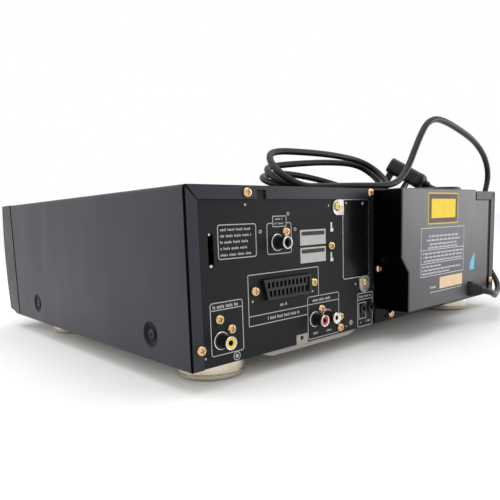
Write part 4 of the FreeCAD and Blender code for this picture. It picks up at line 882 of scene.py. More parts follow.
LEAD_ROUTE: list[Point] = [
    (-0.1010, 0.1757, 0.0335), (-0.1010, 0.1772, 0.0335), (-0.1010, 0.1854, 0.0335),
    (-0.1057, 0.1935, 0.0325), (-0.1138, 0.1982, 0.0305), (-0.1245, 0.1973, 0.0275),
    (-0.1410, 0.1913, 0.0235), (-0.1590, 0.1841, 0.0205), (-0.1800, 0.1765, 0.0191),
    (-0.2000, 0.1706, 0.0211), (-0.2142, 0.1626, 0.0287), (-0.2210, 0.1507, 0.0413),
    (-0.2248, 0.1422, 0.0593), (-0.2250, 0.1382, 0.0813), (-0.2235, 0.1377, 0.1053),
    (-0.2275, 0.1402, 0.1273), (-0.2300, 0.1432, 0.1483), (-0.2170, 0.1447, 0.1675),
    (-0.1940, 0.1457, 0.1803), (-0.1725, 0.1464, 0.1873), (-0.1500, 0.1467, 0.1923),
    (-0.1250, 0.1467, 0.1973), (-0.1010, 0.1467, 0.1993), (-0.0840, 0.1467, 0.1933),
    (-0.0730, 0.1467, 0.1813), (-0.0630, 0.1467, 0.1673), (-0.0530, 0.1467, 0.1523),
    (-0.0410, 0.1467, 0.1398), (-0.0250, 0.1467, 0.1339), (-0.0080, 0.1452, 0.1325),
    (0.0120, 0.1397, 0.1325), (0.0300, 0.1317, 0.1325), (0.0460, 0.1237, 0.1325),
]
TAIL_ROUTE: list[Point] = [
    (-0.0960, 0.0637, 0.1325), (-0.1090, 0.0637, 0.1325), (-0.1200, 0.0707, 0.1325),
    (-0.1260, 0.0827, 0.1325), (-0.1310, 0.0967, 0.1325), (-0.1380, 0.1117, 0.1325),
    (-0.1485, 0.1257, 0.1325), (-0.1630, 0.1347, 0.1325), (-0.1800, 0.1327, 0.1325),
    (-0.1930, 0.1227, 0.1325), (-0.1965, 0.1097, 0.1325), (-0.1925, 0.0977, 0.1343),
    (-0.1890, 0.0904, 0.1393),
]

@dataclass
class Plug:
    """The moulded plug: a ribbed neck, a shoulder, and a body grooved near the cable end."""

    place: Point = (-0.1890, 0.0904, 0.1393)
    heading: float = -64.1
    lean: float = 31.9
    neck: float = 0.0046
    half_wide: float = 0.0226
    half_tall: float = 0.0090
    neck_end: float = 0.0045
    shoulder: float = 0.0055
    rib_pitch: float = 0.0026
    rib: float = 0.0004
    grooves: Span = (0.0145, 0.0295)
    groove_pitch: float = 0.0025
    groove: float = 0.00055
    squareness: float = 1.6
    columns: int = 72

    def grid(self) -> np.ndarray:
        """The plug's shell as a function of its station and an angle.

        The section at a station is a superellipse whose half width and half height grow
        from the neck over a shoulder to the body; grooves ripple both near the cable end.

        Returns:
            A grid of stations by steps round the section, in the plug's own axes.
        """
        station = np.r_[0.0, np.linspace(0.0, 0.0045, 10), np.linspace(0.0048, 0.0135, 14),
                        np.linspace(0.014, 0.030, 66), np.linspace(0.031, 0.0495, 12),
                        0.0503, 0.0508, 0.0510, 0.0510]
        grow = np.clip((station - self.neck_end) / self.shoulder, 0.0, 1.0)
        grow = np.sin(grow * np.pi / 2)
        start, end = self.grooves
        wave = 0.5 - 0.5 * np.cos((station - start) / self.groove_pitch * 2 * np.pi)
        ripple = np.where((station > start) & (station < end), self.groove * wave, 0.0)
        ribs = np.where(station < self.neck_end,
                        self.rib * np.sin(station / self.rib_pitch * 2 * np.pi), 0.0)
        close = np.interp(station, [0.0495, 0.0503, 0.0508, 0.0510], [0.0, 0.0004, 0.0012, 0.0028])
        half_w, half_t = (self.neck + (half - self.neck) * grow - ripple - close + ribs
                          for half in (self.half_wide, self.half_tall))
        half_w[0] = half_t[0] = half_w[-1] = half_t[-1] = CENTRE
        power = 1.0 / (1.0 + self.squareness * grow[:, None])
        angle = np.linspace(0, 2 * np.pi, self.columns, endpoint=False)
        grid = np.empty((len(station), len(angle), 3))
        grid[..., 0] = station[:, None]
        for axis, half, turn in ((1, half_w, np.cos(angle)), (2, half_t, np.sin(angle))):
            grid[..., axis] = half[:, None] * np.sign(turn) * np.abs(turn) ** power
        return grid

    def build(self) -> bpy.types.Object:
        """The plug's shell on the heading and lean at which it stands on its pins.

        Returns:
            The dressed shell.
        """
        turn = (Matrix.Rotation(math.radians(self.heading), 3, "Z")
                @ Matrix.Rotation(math.radians(-self.lean), 3, "Y"))
        shell = self.grid() @ np.array(turn).T + np.array(self.place)
        return fit("plug_shell", [(shell, True)], Finish.BLACK, 40.0,
                   ("plug_body",))


@dataclass
class MainsLead:
    """The lead from the bushing over the case, its loose hank and its strain relief."""

    radius: float = 0.003
    rest_z: float = 0.1327
    left_ends: tuple[Row, ...] = (
        (0.0740, 0.1160, 0.0245, 43.0), (0.0650, 0.1050, 0.0215, 30.0),
        (0.0600, 0.0945, 0.0205, 20.0))
    right_ends: tuple[Row, ...] = (
        (-0.0860, 0.1105, 0.0235, 43.0), (-0.0900, 0.0995, 0.0220, 42.0))
    last_run: tuple[Point, ...] = (
        (0.0280, 0.0575, 0.1500), (-0.0080, 0.0575, 0.1480), (-0.0440, 0.0590, 0.1425),
        (-0.0740, 0.0620, 0.1360))
    corner: float = math.radians(22.5)
    head_end: float = 0.0100
    sleeve_end: float = 0.0200
    head_wide: float = 0.0048
    head_tall: float = 0.0072
    sleeve_neck: float = 0.0034
    sleeve_mouth: float = 0.0026
    rib: float = 0.0003
    ribs: int = 4

    def fold(self, end_x: float, foot_y: float, radius: float, lean: float,
             side: int) -> np.ndarray:
        """The four control points of a half turn at one end of the hank.

        They are half of the octagon round a circle of the radius. The circle stands on the
        case at foot_y, leans back by the lean in degrees, and its outermost side is at end_x.

        Args:
            end_x: the turn's outermost side along X.
            foot_y: where its circle stands along Y.
            radius: the circle's radius.
            lean: how far it leans back, in degrees.
            side: 1 at the end towards +X, -1 at the other.

        Returns:
            Four points, one (x, y, z) a row.
        """
        angle = np.array([-3, -1, 1, 3]) * self.corner
        reach = radius / math.cos(self.corner)
        across = end_x - side * radius + side * reach * np.cos(angle)
        climb = radius + side * reach * np.sin(angle)
        tilt = math.radians(lean)
        return np.stack([across, foot_y - climb * math.cos(tilt),
                         self.rest_z + climb * math.sin(tilt)], axis=-1)

    def hank(self) -> np.ndarray:
        """Control points of the hank's turns: leaning half turns joined by slack runs.

        Returns:
            The points in order, one (x, y, z) a row.
        """
        parts = [self.fold(*self.left_ends[0], 1)]
        for right, left in zip(self.right_ends, self.left_ends[1:]):
            back, turn = self.fold(*right, -1), self.fold(*left, 1)
            across, ahead = back[0] - parts[-1][-1], turn[0] - back[-1]
            slack = [parts[-1][-1] + across * 0.33 + [0, 0, 0.0020],
                     parts[-1][-1] + across * 0.66 + [0, 0, 0.0025]]
            parts += [np.array(slack), back,
                      np.array([back[-1] + ahead * 0.35, back[-1] + ahead * 0.70]), turn]
        return np.concatenate([*parts, np.array(self.last_run)])

    def cord(self) -> bpy.types.Object:
        """The whole lead as one smooth spline of order three.

        Returns:
            The linked curve with its round section.
        """
        points = np.concatenate([np.array(LEAD_ROUTE), self.hank(), np.array(TAIL_ROUTE)])
        curve = bpy.data.curves.new("mains_cord", "CURVE")
        curve.dimensions = "3D"
        spline = curve.splines.new("NURBS")
        spline.points.add(len(points) - 1)
        spline.points.foreach_set("co", np.c_[points, np.ones(len(points))].ravel())
        spline.order_u = 3
        spline.use_endpoint_u = True
        spline.resolution_u = 8
        curve.bevel_depth = self.radius
        curve.bevel_resolution = 4
        return stand("mains_cord", curve)

    def line(self, cord: bpy.types.Object) -> np.ndarray:
        """The points along the cord's own line, read from its spline with no bevel.

        Args:
            cord: the lead's curve.

        Returns:
            Points along the lead, one (x, y, z) a row.
        """
        depth, cord.data.bevel_depth = cord.data.bevel_depth, 0.0
        depsgraph = bpy.context.evaluated_depsgraph_get()
        bpy.context.view_layer.update()
        mesh = bpy.data.meshes.new_from_object(cord.evaluated_get(depsgraph))
        points = np.empty(len(mesh.vertices) * 3)
        mesh.vertices.foreach_get("co", points)
        bpy.data.meshes.remove(mesh)
        cord.data.bevel_depth = depth
        return points.reshape(-1, 3)

    def along(self, path: np.ndarray, stations: np.ndarray, wide: np.ndarray, tall: np.ndarray,
              columns: int = 32) -> np.ndarray:
        """An oval sleeve on a path.

        At each station, a distance along the path, an oval of the given half sizes stands
        square to the path: place + wide cos a side + tall sin a up.

        Args:
            path: points along the lead, one (x, y, z) a row.
            stations: distances along the path.
            wide: the oval's half width at each station.
            tall: its half height at each station.
            columns: steps round the oval.

        Returns:
            A grid of stations by steps.
        """
        def read(at: np.ndarray, known: np.ndarray, rows: np.ndarray) -> np.ndarray:
            """Rows known at some distances, read at others."""
            return np.stack([np.interp(at, known, column) for column in rows.T], axis=-1)

        steps = np.r_[0.0, np.cumsum(np.linalg.norm(np.diff(path, axis=0), axis=1))]
        even = np.linspace(0, steps[-1], len(steps))
        place = read(stations, steps, path)
        ahead = read(stations, even, np.gradient(read(even, steps, path), axis=0))
        ahead /= np.linalg.norm(ahead, axis=1, keepdims=True)
        side = np.cross(ahead, (0.0, 0.0, 1.0))
        side /= np.linalg.norm(side, axis=1, keepdims=True)
        up = np.cross(side, ahead)
        angle = np.linspace(0, 2 * np.pi, columns, endpoint=False)[None, :, None]
        return (place[:, None] + (side * wide[:, None])[:, None] * np.cos(angle)
                + (up * tall[:, None])[:, None] * np.sin(angle))

    def relief_sleeve(self, path: np.ndarray) -> bpy.types.Object:
        """The tapered strain relief: an upright oval head that ribs and narrows to the lead.

        Args:
            path: points along the lead, one (x, y, z) a row.

        Returns:
            The dressed sleeve.
        """
        stations = np.r_[0.0, np.linspace(0.0, self.head_end, 20),
                         np.linspace(self.head_end + 0.0005, self.sleeve_end, 60)]
        share = np.clip((stations - self.head_end) / (self.sleeve_end - self.head_end), 0.0, 1.0)
        ribs = np.where(share > 0.0,
                        self.rib * np.sign(np.sin(share * 2 * np.pi * self.ribs)), 0.0)
        wide = self.head_wide + (self.sleeve_neck - self.head_wide) * share + ribs
        tall = self.head_tall + (self.sleeve_neck - self.head_tall) * share ** 1.4 + ribs
        wide[0] = tall[0] = self.sleeve_mouth
        wide[-1] = tall[-1] = self.radius * 0.98
        return fit("relief_sleeve", [(self.along(path, stations, wide, tall), True)],
                   Finish.BLACK, 60.0)

    def build(self) -> None:
        cord = self.cord()
        path = self.line(cord)
        dress(cord, Finish.VINYL, CASE_BODY,
              replaces=("mains_lead", "lead_hank", "lead_tail"))
        sleeve, plug = self.relief_sleeve(path), Plug().build()


# ---------------------------------------------------------------- fasteners and feet

@dataclass
class ScrewHeads:
    """Pan heads with a cross recess, set over the shanks of one node."""

    name: str
    node: str
    facing: Facing
    places: list[Point]
    finish: Finish
    slot: str
    radius: float = 0.0034
    height: float = 0.0022
    turn: float = 0.0
    flat: float = 0.66
    bar: float = 0.15
    arm: float = 0.56
    recess: float = 0.52

    def head(self, turn: float) -> np.ndarray:
        """One head as a function of radius and angle.

        The crown is a low dome that rolls down to the rim; the cross recess is a pit whose
        depth is one inside either bar of the cross and falls to nothing at its walls.

        Args:
            turn: how far the cross is turned, in radians.

        Returns:
            A grid of rings by steps round the head, its crown towards +Z.
        """
        share = np.r_[np.linspace(0.0, self.flat - 0.04, 26), np.linspace(self.flat, 1.0, 12)]
        angle = np.linspace(0, 2 * np.pi, 64, endpoint=False)
        r, a = np.meshgrid(share * self.radius, angle, indexing="ij")
        x, y = r * np.cos(a), r * np.sin(a)
        edge = np.clip((share[:, None] - self.flat) / (1.0 - self.flat), 0.0, 1.0)
        dome = self.height * (0.97 - 0.12 * share[:, None] ** 2 - 0.55 * edge ** 2.4)
        cos, sin = math.cos(turn), math.sin(turn)
        cx, cy = x * cos + y * sin, y * cos - x * sin
        bar, arm = self.radius * self.bar, self.radius * self.arm

        def inside(u: np.ndarray, v: np.ndarray) -> np.ndarray:
            """One inside a bar of the cross, falling to zero over its wall."""
            return (np.clip((bar - np.abs(v)) / (bar * 0.35), 0, 1)
                    * np.clip((arm - np.abs(u)) / (arm * 0.22), 0, 1))

        pit = np.maximum(inside(cx, cy), inside(cy, cx)) * self.height * self.recess
        grid = np.stack([x, y, dome - pit], axis=-1)
        foot = grid[-1:].copy()
        foot[..., 2] = -0.0002
        return np.concatenate([grid, foot])

    def build(self) -> None:
        """Make all heads as one piece."""
        sheets = [(self.facing.set_at(self.head(self.turn + 0.9 * number), place), True)
                  for number, place in enumerate(self.places)]
        fit(self.name, sheets, self.finish, 50.0, (self.node,))


@dataclass
class Feet:
    """Round plated feet, each turned with a rolled top, a groove and a bright foot ring."""

    radius: float = 0.0252
    height: float = 0.0153
    places: tuple[Span, ...] = (
        (-0.1683, 0.1227), (0.1683, 0.1227), (-0.1683, -0.1013), (0.1683, -0.1013))

    def profile(self) -> Profile:
        """Radius and height from the pad's edge down, round the foot ring and up to the case.

        Returns:
            Profile points in metres, in order.
        """
        r, h = self.radius, self.height
        return [(0.0190, 0.0030), (0.0191, 0.0016), (r - 0.0024, 0.0012), (r - 0.0011, 0.0010),
                (r - 0.0003, 0.0014), (r, 0.0022), (r, 0.0038), (r - 0.0004, 0.0042),
                (r - 0.0007, 0.0044), (r - 0.0004, 0.0046), (r, 0.0050), (r, h - 0.0012),
                (r - 0.0003, h - 0.0004), (r - 0.0010, h), (0.0060, h)]

    def build(self) -> None:
        """Turn the four shells as one piece, with a bead round each pad."""
        shell = turned(self.profile(), 96)
        sheets = [(shell + np.array([x, y, 0.0]), True) for x, y in self.places]
        fit("plated_feet", sheets, Finish.FOOT, 40.0, ("foot_shells",))


# ---------------------------------------------------------------- rear panel

@dataclass
class RearPrint:
    """Pale printed frames and marks on the rear panel, in millimetres from the panel's base."""

    line: float = 0.00062
    film: float = 0.00005
    frames: tuple[tuple[Row, float], ...] = (
        ((153.1, 185.1, 67.6, 89.0), 1.6), ((167.0, 193.5, 6.8, 40.6), 1.8),
        ((67.1, 103.4, 1.4, 33.4), 1.8), ((22.4, 42.7, 0.8, 28.5), 1.4),
        ((119.4, 142.9, 67.8, 88.8), 1.8), ((31.4, 41.0, 7.4, 20.6), 0.5))
    tag: Row = (124.3, 137.3, 86.4, 93.5)
    tag_corner: float = 0.6
    rows: tuple[Row, ...] = (
        (170.1, 191.5, 38.1, 2.3), (112.7, 144.2, 24.2, 2.3), (75.6, 97.9, 30.4, 2.3),
        (124.4, 132.1, 32.1, 2.2), (90.4, 97.7, 5.3, 2.0), (75.2, 82.2, 5.1, 2.0),
        (24.6, 40.6, 25.9, 1.9), (36.0, 39.0, 4.4, 1.8), (24.6, 31.4, 4.6, 1.8),
        (156.3, 183.0, 86.0, 1.7), (157.0, 183.2, 82.1, 1.7), (160.0, 183.4, 78.2, 1.7),
        (159.0, 183.4, 74.2, 1.7), (157.0, 183.4, 70.2, 1.7))
    tag_rows: tuple[Row, ...] = ((127.2, 134.8, 91.6, 1.5), (126.2, 135.6, 88.6, 1.5))
    dividers: tuple[Point, ...] = (
        (167.0, 193.5, 35.9), (103.2, 161.5, 27.5), (67.1, 103.4, 27.7), (22.4, 42.7, 23.3))
    socket_line: tuple[Span, ...] = (
        (103.2, 20.9), (161.5, 20.9), (161.5, 55.3), (91.1, 55.3), (91.1, 33.4))
    rings: tuple[Point, ...] = ((173.0, 3.6, 3.0), (51.6, 6.4, 2.1))
    dots: tuple[Point, ...] = (
        (161.7, 101.4, 0.9), (157.8, 37.4, 0.8), (97.7, 37.6, 0.8), (198.5, 6.6, 0.8),
        (78.1, 100.3, 0.8), (56.9, 102.0, 0.9), (45.3, 37.2, 0.8), (57.8, 4.3, 0.7))
    plates: tuple[Row, ...] = ((82.0, 110.2, 71.9, 83.1), (82.0, 110.2, 59.0, 70.2))

    def label_tag(self) -> None:
        """Lay the small tag that interrupts the upper jack's frame: a patch, its line and ticks."""
        x0, x1, z0, z1 = self.tag
        lift = self.film * 1.4
        outline = rounded_outline((x1 - x0) / 1000, (z1 - z0) / 1000, self.tag_corner / 1000)
        fit("tag_patch", [on_back(plate(outline, lift), (x0 + x1) / 2, (z0 + z1) / 2)],
            Finish.PANEL)
        sheets = [frame_on_back(self.tag, self.tag_corner, self.line, self.film * 2.4)]
        for row in self.tag_rows:
            sheets += ticks(*row, PANEL_Y + lift, self.film)
        fit("tag_print", sheets, Finish.PRINT)

    def socket_frame(self) -> list[Sheet]:
        """The open frame round the wide socket: bars that overlap at their corners.

        Returns:
            The bars, each with its wrap flag.
        """
        route = np.array(self.socket_line) / 1000
        middle = route.mean(axis=0)
        sheets = []
        for first, last in zip(route[:-1], route[1:]):
            ahead = (last - first) / np.linalg.norm(last - first) * self.line * 0.4
            ends = [tuple(end * [-1, 1]) for end in (first - middle - ahead, last - middle + ahead)]
            sheets.append(on_back(box_line(*ends, self.line, self.film), *(middle * 1000)))
        return sheets

    def build(self) -> None:
        """Print the frames, dividers and marks, then the two bare plates with dark heads."""
        line, film = self.line, self.film
        sheets = [frame_on_back(box, corner, line, film) for box, corner in self.frames]
        sheets += self.socket_frame()
        for x, z, radius in self.rings:
            ring = line_loop(circle(radius / 1000 - line / 2, 36), line, film)
            middle = plate(circle(radius / 1000 * 0.45, 24), film)
            sheets += [on_back(ring, x, z), on_back(middle, x, z)]
        sheets += [rule_on_back(*divider, line, film) for divider in self.dividers]
        for row in self.rows:
            sheets += ticks(*row, PANEL_Y, film)
        for x, z, radius in self.dots:
            sheets.append(on_back(plate(circle(radius / 1000, 20), film), x, z))
        fit("panel_print", sheets, Finish.PRINT)
        self.label_tag()
        pale, dark = [], []
        for x0, x1, z0, z1 in self.plates:
            wide, tall, middle = (x1 - x0) / 1000, (z1 - z0) / 1000, (x0 + x1) / 2
            pale.append(on_back(plate(rounded_outline(wide, tall, 0.0004), film), middle,
                                (z0 + z1) / 2))
            band = plate(rounded_outline(wide * 0.90, tall * 0.26, 0.0003), film)
            dark.append(on_back(band, middle, z1 - tall * 1000 * 0.24, PANEL_Y + film))
        fit("notice_plates", pale, Finish.PLATE)
        fit("notice_bands", dark, Finish.PLATE_DARK)


@dataclass
class CoverLabels:
    """Bare labels and printed frames on the mechanism cover's back, in millimetres."""

    film: float = 0.00008
    line: float = 0.00050
    frame_box: Row = (-85.7, -9.9, 38.3, 79.5)
    rules: tuple[Point, ...] = ((-85.7, -9.9, 60.8), (-85.7, -9.9, 49.3), (-82.0, -25.5, 23.6))
    rows: tuple[Row, ...] = (
        (-75.3, -22.9, 72.6, 2.0), (-78.6, -18.6, 69.2, 2.0), (-72.5, -24.1, 65.8, 2.0),
        (-73.7, -21.4, 62.8, 1.8), (-84.2, -12.7, 58.0, 1.9), (-83.7, -13.6, 54.8, 1.9),
        (-84.0, -14.6, 51.6, 1.9), (-43.2, -12.0, 46.8, 1.8), (-80.9, -12.1, 43.7, 1.8),
        (-59.2, -12.2, 40.8, 1.8), (-37.2, -26.0, 28.1, 2.0))
    label: Span = (-47.0, 96.0)
    sticker: Span = (-63.0, 30.6)
    tab: Span = (-104.0, 45.4)
    tab_outline: tuple[Span, ...] = (
        (-0.0050, -0.0082), (0.0042, -0.0082), (0.0048, 0.0082), (0.0042, 0.0082),
        (-0.0043, -0.0008))

    def lay(self, name: str, finish: Finish, outline: np.ndarray, place: Span,
            level: int = 0) -> None:
        """Lay a closed outline as a thin plate on the cover, so many films above its face."""
        face = BOX_Y + self.film * level
        fit(name, [on_back(plate(outline, self.film), *place, face)], finish)

    def wing(self) -> None:
        """The cover's thin wing, which laps the panel beside the box up to the case's flange."""
        wing = plate(rounded_outline(0.0862, 0.1030, 0.0010), 0.0004)
        fit("cover_wing", [on_back(wing, -153.0, 52.5)], Finish.WING)

    def amber_label(self) -> None:
        """A bordered label: amber border, taupe band and a bare lemon field, one on another."""
        layers = (("amber_border", Finish.AMBER, 0.0530, 0.0270),
                  ("taupe_band", Finish.TAUPE, 0.0504, 0.0246),
                  ("lemon_field", Finish.LEMON, 0.0420, 0.0164))
        for level, (name, finish, wide, tall) in enumerate(layers):
            self.lay(name, finish, rounded_outline(wide, tall, 0.0009),
                     self.label, level)

    def rating_frame(self) -> None:
        """A frame with rules and rows of ticks, printed on the cover."""
        sheets = [frame_on_back(self.frame_box, 0.6, self.line, self.film, BOX_Y)]
        for row in self.rows:
            sheets += ticks(*row, BOX_Y, self.film)
        sheets += [rule_on_back(*rule, self.line, self.film, BOX_Y) for rule in self.rules]
        fit("rating_frame", sheets, Finish.COVER_PRINT)

    def build(self) -> None:
        """Lay every label."""
        self.wing()
        self.amber_label()
        self.rating_frame()
        self.lay("cream_sticker", Finish.CREAM,
                 rounded_outline(0.0420, 0.0102, 0.0004), self.sticker)
        self.lay("sky_tab", Finish.SKY, np.array(self.tab_outline), self.tab)


# ---------------------------------------------------------------- phono jacks

class Jack(Enum):
    """The phono jacks by their inserts' colour: place in millimetres, finish, slot, hole radius."""

    YELLOW = ((185.6, 16.0), Finish.YELLOW, "yellow_plastic", 0.0017)
    RED = ((95.6, 16.0), Finish.RED, "red_plastic", 0.0014)
    WHITE = ((81.6, 16.0), Finish.WHITE, "white_plastic", 0.0016)
    BLACK = ((133.2, 75.6), Finish.BLACK, "black_plastic", 0.0020)


@dataclass
class PhonoJacks:
    """The phono jacks: a black barrel on a plated washer, a plated mouth, a coloured insert."""

    radius: float = 0.0044
    length: float = 0.0106

    def washer(self) -> Profile:
        """Radius and height of the plated washer."""
        r = self.radius
        return [(r + 0.0016, 0.0), (r + 0.0016, 0.0005), (r + 0.0013, 0.0008), (r + 0.0008, 0.0008)]

    def barrel(self) -> Profile:
        """Radius and height of the moulded barrel, from its collar to behind the mouth.

        Returns:
            Profile points in metres, from the panel outwards.
        """
        r, top = self.radius, self.length
        return [(r + 0.0010, 0.0), (r + 0.0010, 0.0011), (r + 0.0008, 0.0014), (r - 0.0001, 0.0016),
                (r - 0.0002, 0.0030), (r - 0.0002, top - 0.0012), (r - 0.0006, top - 0.0010),
                (r - 0.0012, top - 0.0009)]

    def mouth(self) -> Profile:
        """Radius and height of the rolled plated mouth.

        Returns:
            Profile points in metres, round the rim from its outside to its inside.
        """
        r, top = self.radius, self.length
        return [(r - 0.0003, top - 0.0018), (r, top - 0.0015), (r + 0.0001, top - 0.0008),
                (r, top - 0.0003), (r - 0.0003, top), (r - 0.0007, top - 0.0001),
                (r - 0.0010, top - 0.0005), (r - 0.0011, top - 0.0020)]

    def insert(self, hole: float) -> Profile:
        """Radius and height of the insert: a flat face dished towards its hole.

        Args:
            hole: the hole's radius, in metres.

        Returns:
            Profile points in metres, from the rim to the hole's bottom.
        """
        r, top = self.radius - 0.0010, self.length - 0.0004
        return [(r, top - 0.0014), (r, top - 0.0003), (r - 0.0003, top),
                (hole + 0.0005, top - 0.0002), (hole, top - 0.0008), (hole, top - 0.0060),
                (CENTRE, top - 0.0060)]

    def shade_lining(self, hole: float) -> Profile:
        """Radius and height of the black sleeve that lines an insert's hole, painted shade that
        darkens it.

        Args:
            hole: the hole's radius, in metres.

        Returns:
            Profile points in metres, from the hole's mouth to its bottom.
        """
        r, top = hole - 0.0001, self.length - 0.0004
        return [(hole + 0.0001, top - 0.0006), (r, top - 0.0009), (r, top - 0.0058),
                (CENTRE, top - 0.0058)]

    def build(self) -> None:
        """Make washers and mouths as one plated piece, the barrels with black linings of painted
        shade in the holes, and each insert.
        """
        plated, barrels = [], []
        for jack in Jack:
            place, finish, slot, hole = jack.value
            washer, mouth, barrel, shade_lining, insert = (
                on_back(turned(profile, 56), *place)
                for profile in (self.washer(), self.mouth(), self.barrel(), self.shade_lining(hole),
                                self.insert(hole)))
            plated += [washer, mouth]
            barrels += [barrel, shade_lining]
            name = jack.name.lower()
            fit(f"{name}_jack_face", [insert], finish, 40.0, (f"{name}_jack_insulator",))
        fit("turned_shells", plated, Finish.NICKEL, 40.0, ("jack_shells",))
        fit("jack_barrels_and_shades", barrels, Finish.BLACK)


@dataclass
class PanelEdges:
    """Bare cut edges and pressed eyelets of the rear panel, in millimetres, and screw seats."""

    film: float = 0.00012
    window: Row = (27.4, 61.2, 42.5, 104.7)
    eyelets: tuple[Span, ...] = ((149.1, 83.5), (122.2, 95.0), (115.3, 83.9), (35.5, 101.6))
    lances: tuple[Span, ...] = ((74.5, 84.0), (74.9, 61.4))
    lips: tuple[Row, ...] = ((191.9, 83.4, 1.5, 1.5), (191.3, 63.9, 2.1, 1.7))
    dish: float = 0.0087
    deep: float = 0.0016

    def patch(self, x: float, z: float, wide: float, tall: float, corner: float,
              films: float = 1.0) -> Sheet:
        """A round-cornered plate at a place, so many films thick."""
        outline = rounded_outline(wide / 1000, tall / 1000, corner / 1000)
        return on_back(plate(outline, self.film * films), x, z)

    def eyelet(self) -> np.ndarray:
        """A pressed eyelet: a low bead of revolution round a hole."""
        return turned([(0.0013, 0.0), (0.0012, 0.00018), (0.0010, 0.00026), (0.0008, 0.00018),
                       (0.00075, 0.00002)], 24)

    def bare(self) -> list[Sheet]:
        """The window's edge, the eyelets, a cut strip, the slot's lips and the pressed lugs.

        Returns:
            The parts, each with its wrap flag.
        """
        strip = box_line((0.0, -0.0130), (0.0, 0.0130), 0.0009, self.film)
        sheets = [frame_on_back(self.window, 2.2, 0.00055, self.film)]
        sheets += [on_back(self.eyelet(), x, z) for x, z in self.eyelets]
        sheets += [on_back(strip, 20.6, 22.5)]
        sheets += [self.patch(*lip, 0.6) for lip in self.lips]
        for x, z in self.lances:
            sheets += [self.patch(x + 0.8, z + 1.6, 1.7, 4.2, 0.3, 1.6),
                       self.patch(x + 0.2, z - 2.0, 3.4, 2.6, 0.3, 1.6)]
        return sheets

    def seats(self) -> list[Sheet]:
        """Bowls in the case's sides: a rim that rolls over and falls smoothly to the seat.

        Returns:
            The bowls, each with its wrap flag.
        """
        share = np.linspace(0.0, 1.0, 14)
        fall = -self.deep * np.sin(share * np.pi / 2) ** 1.4
        radius = self.dish + 0.0002 - (self.dish - 0.0036) * share
        bowl = turned(list(zip(radius, fall + 0.00004)), 64)
        return [(facing.set_at(bowl, (side, y, SIDE_SCREW_Z)), True) for y in SIDE_SCREW_Y
                for facing, side in ((Facing.LEFT, SIDE_X), (Facing.RIGHT, -SIDE_X))]

    def build(self) -> None:
        """Lay the bare edges and lugs, black patches of painted shade for the eyelets' and lances'
        holes and for the gap by the case's flange, and the dished seats in painted shade.
        """
        fit("bare_edges", self.bare(), Finish.ZINC)
        # Painted shade: flat black discs and patches stand for the dark inside of the eyelets' and
        # lances' holes
        holes = [on_back(plate(circle(0.0008, 20), self.film / 4), x, z) for x, z in self.eyelets]
        holes += [self.patch(x - 1.1, z + 0.6, 1.3, 2.2, 0.3, 2.0) for x, z in self.lances]
        fit("hole_shade_patches", holes, Finish.BLACK)
        # Painted shade: a black strip lies in the shadow gap between the panel and the case's rear
        # flange
        fit("gap_shade_strip", [self.patch(-198.5, 62.8, 4.0, 83.0, 0.8, 3.0)], Finish.RUBBER)
        # The dished seats wear painted shade, a darker copy of the case paint
        fit("screw_seats", self.seats(), Finish.SEAT, 60.0)


# ---------------------------------------------------------------- front

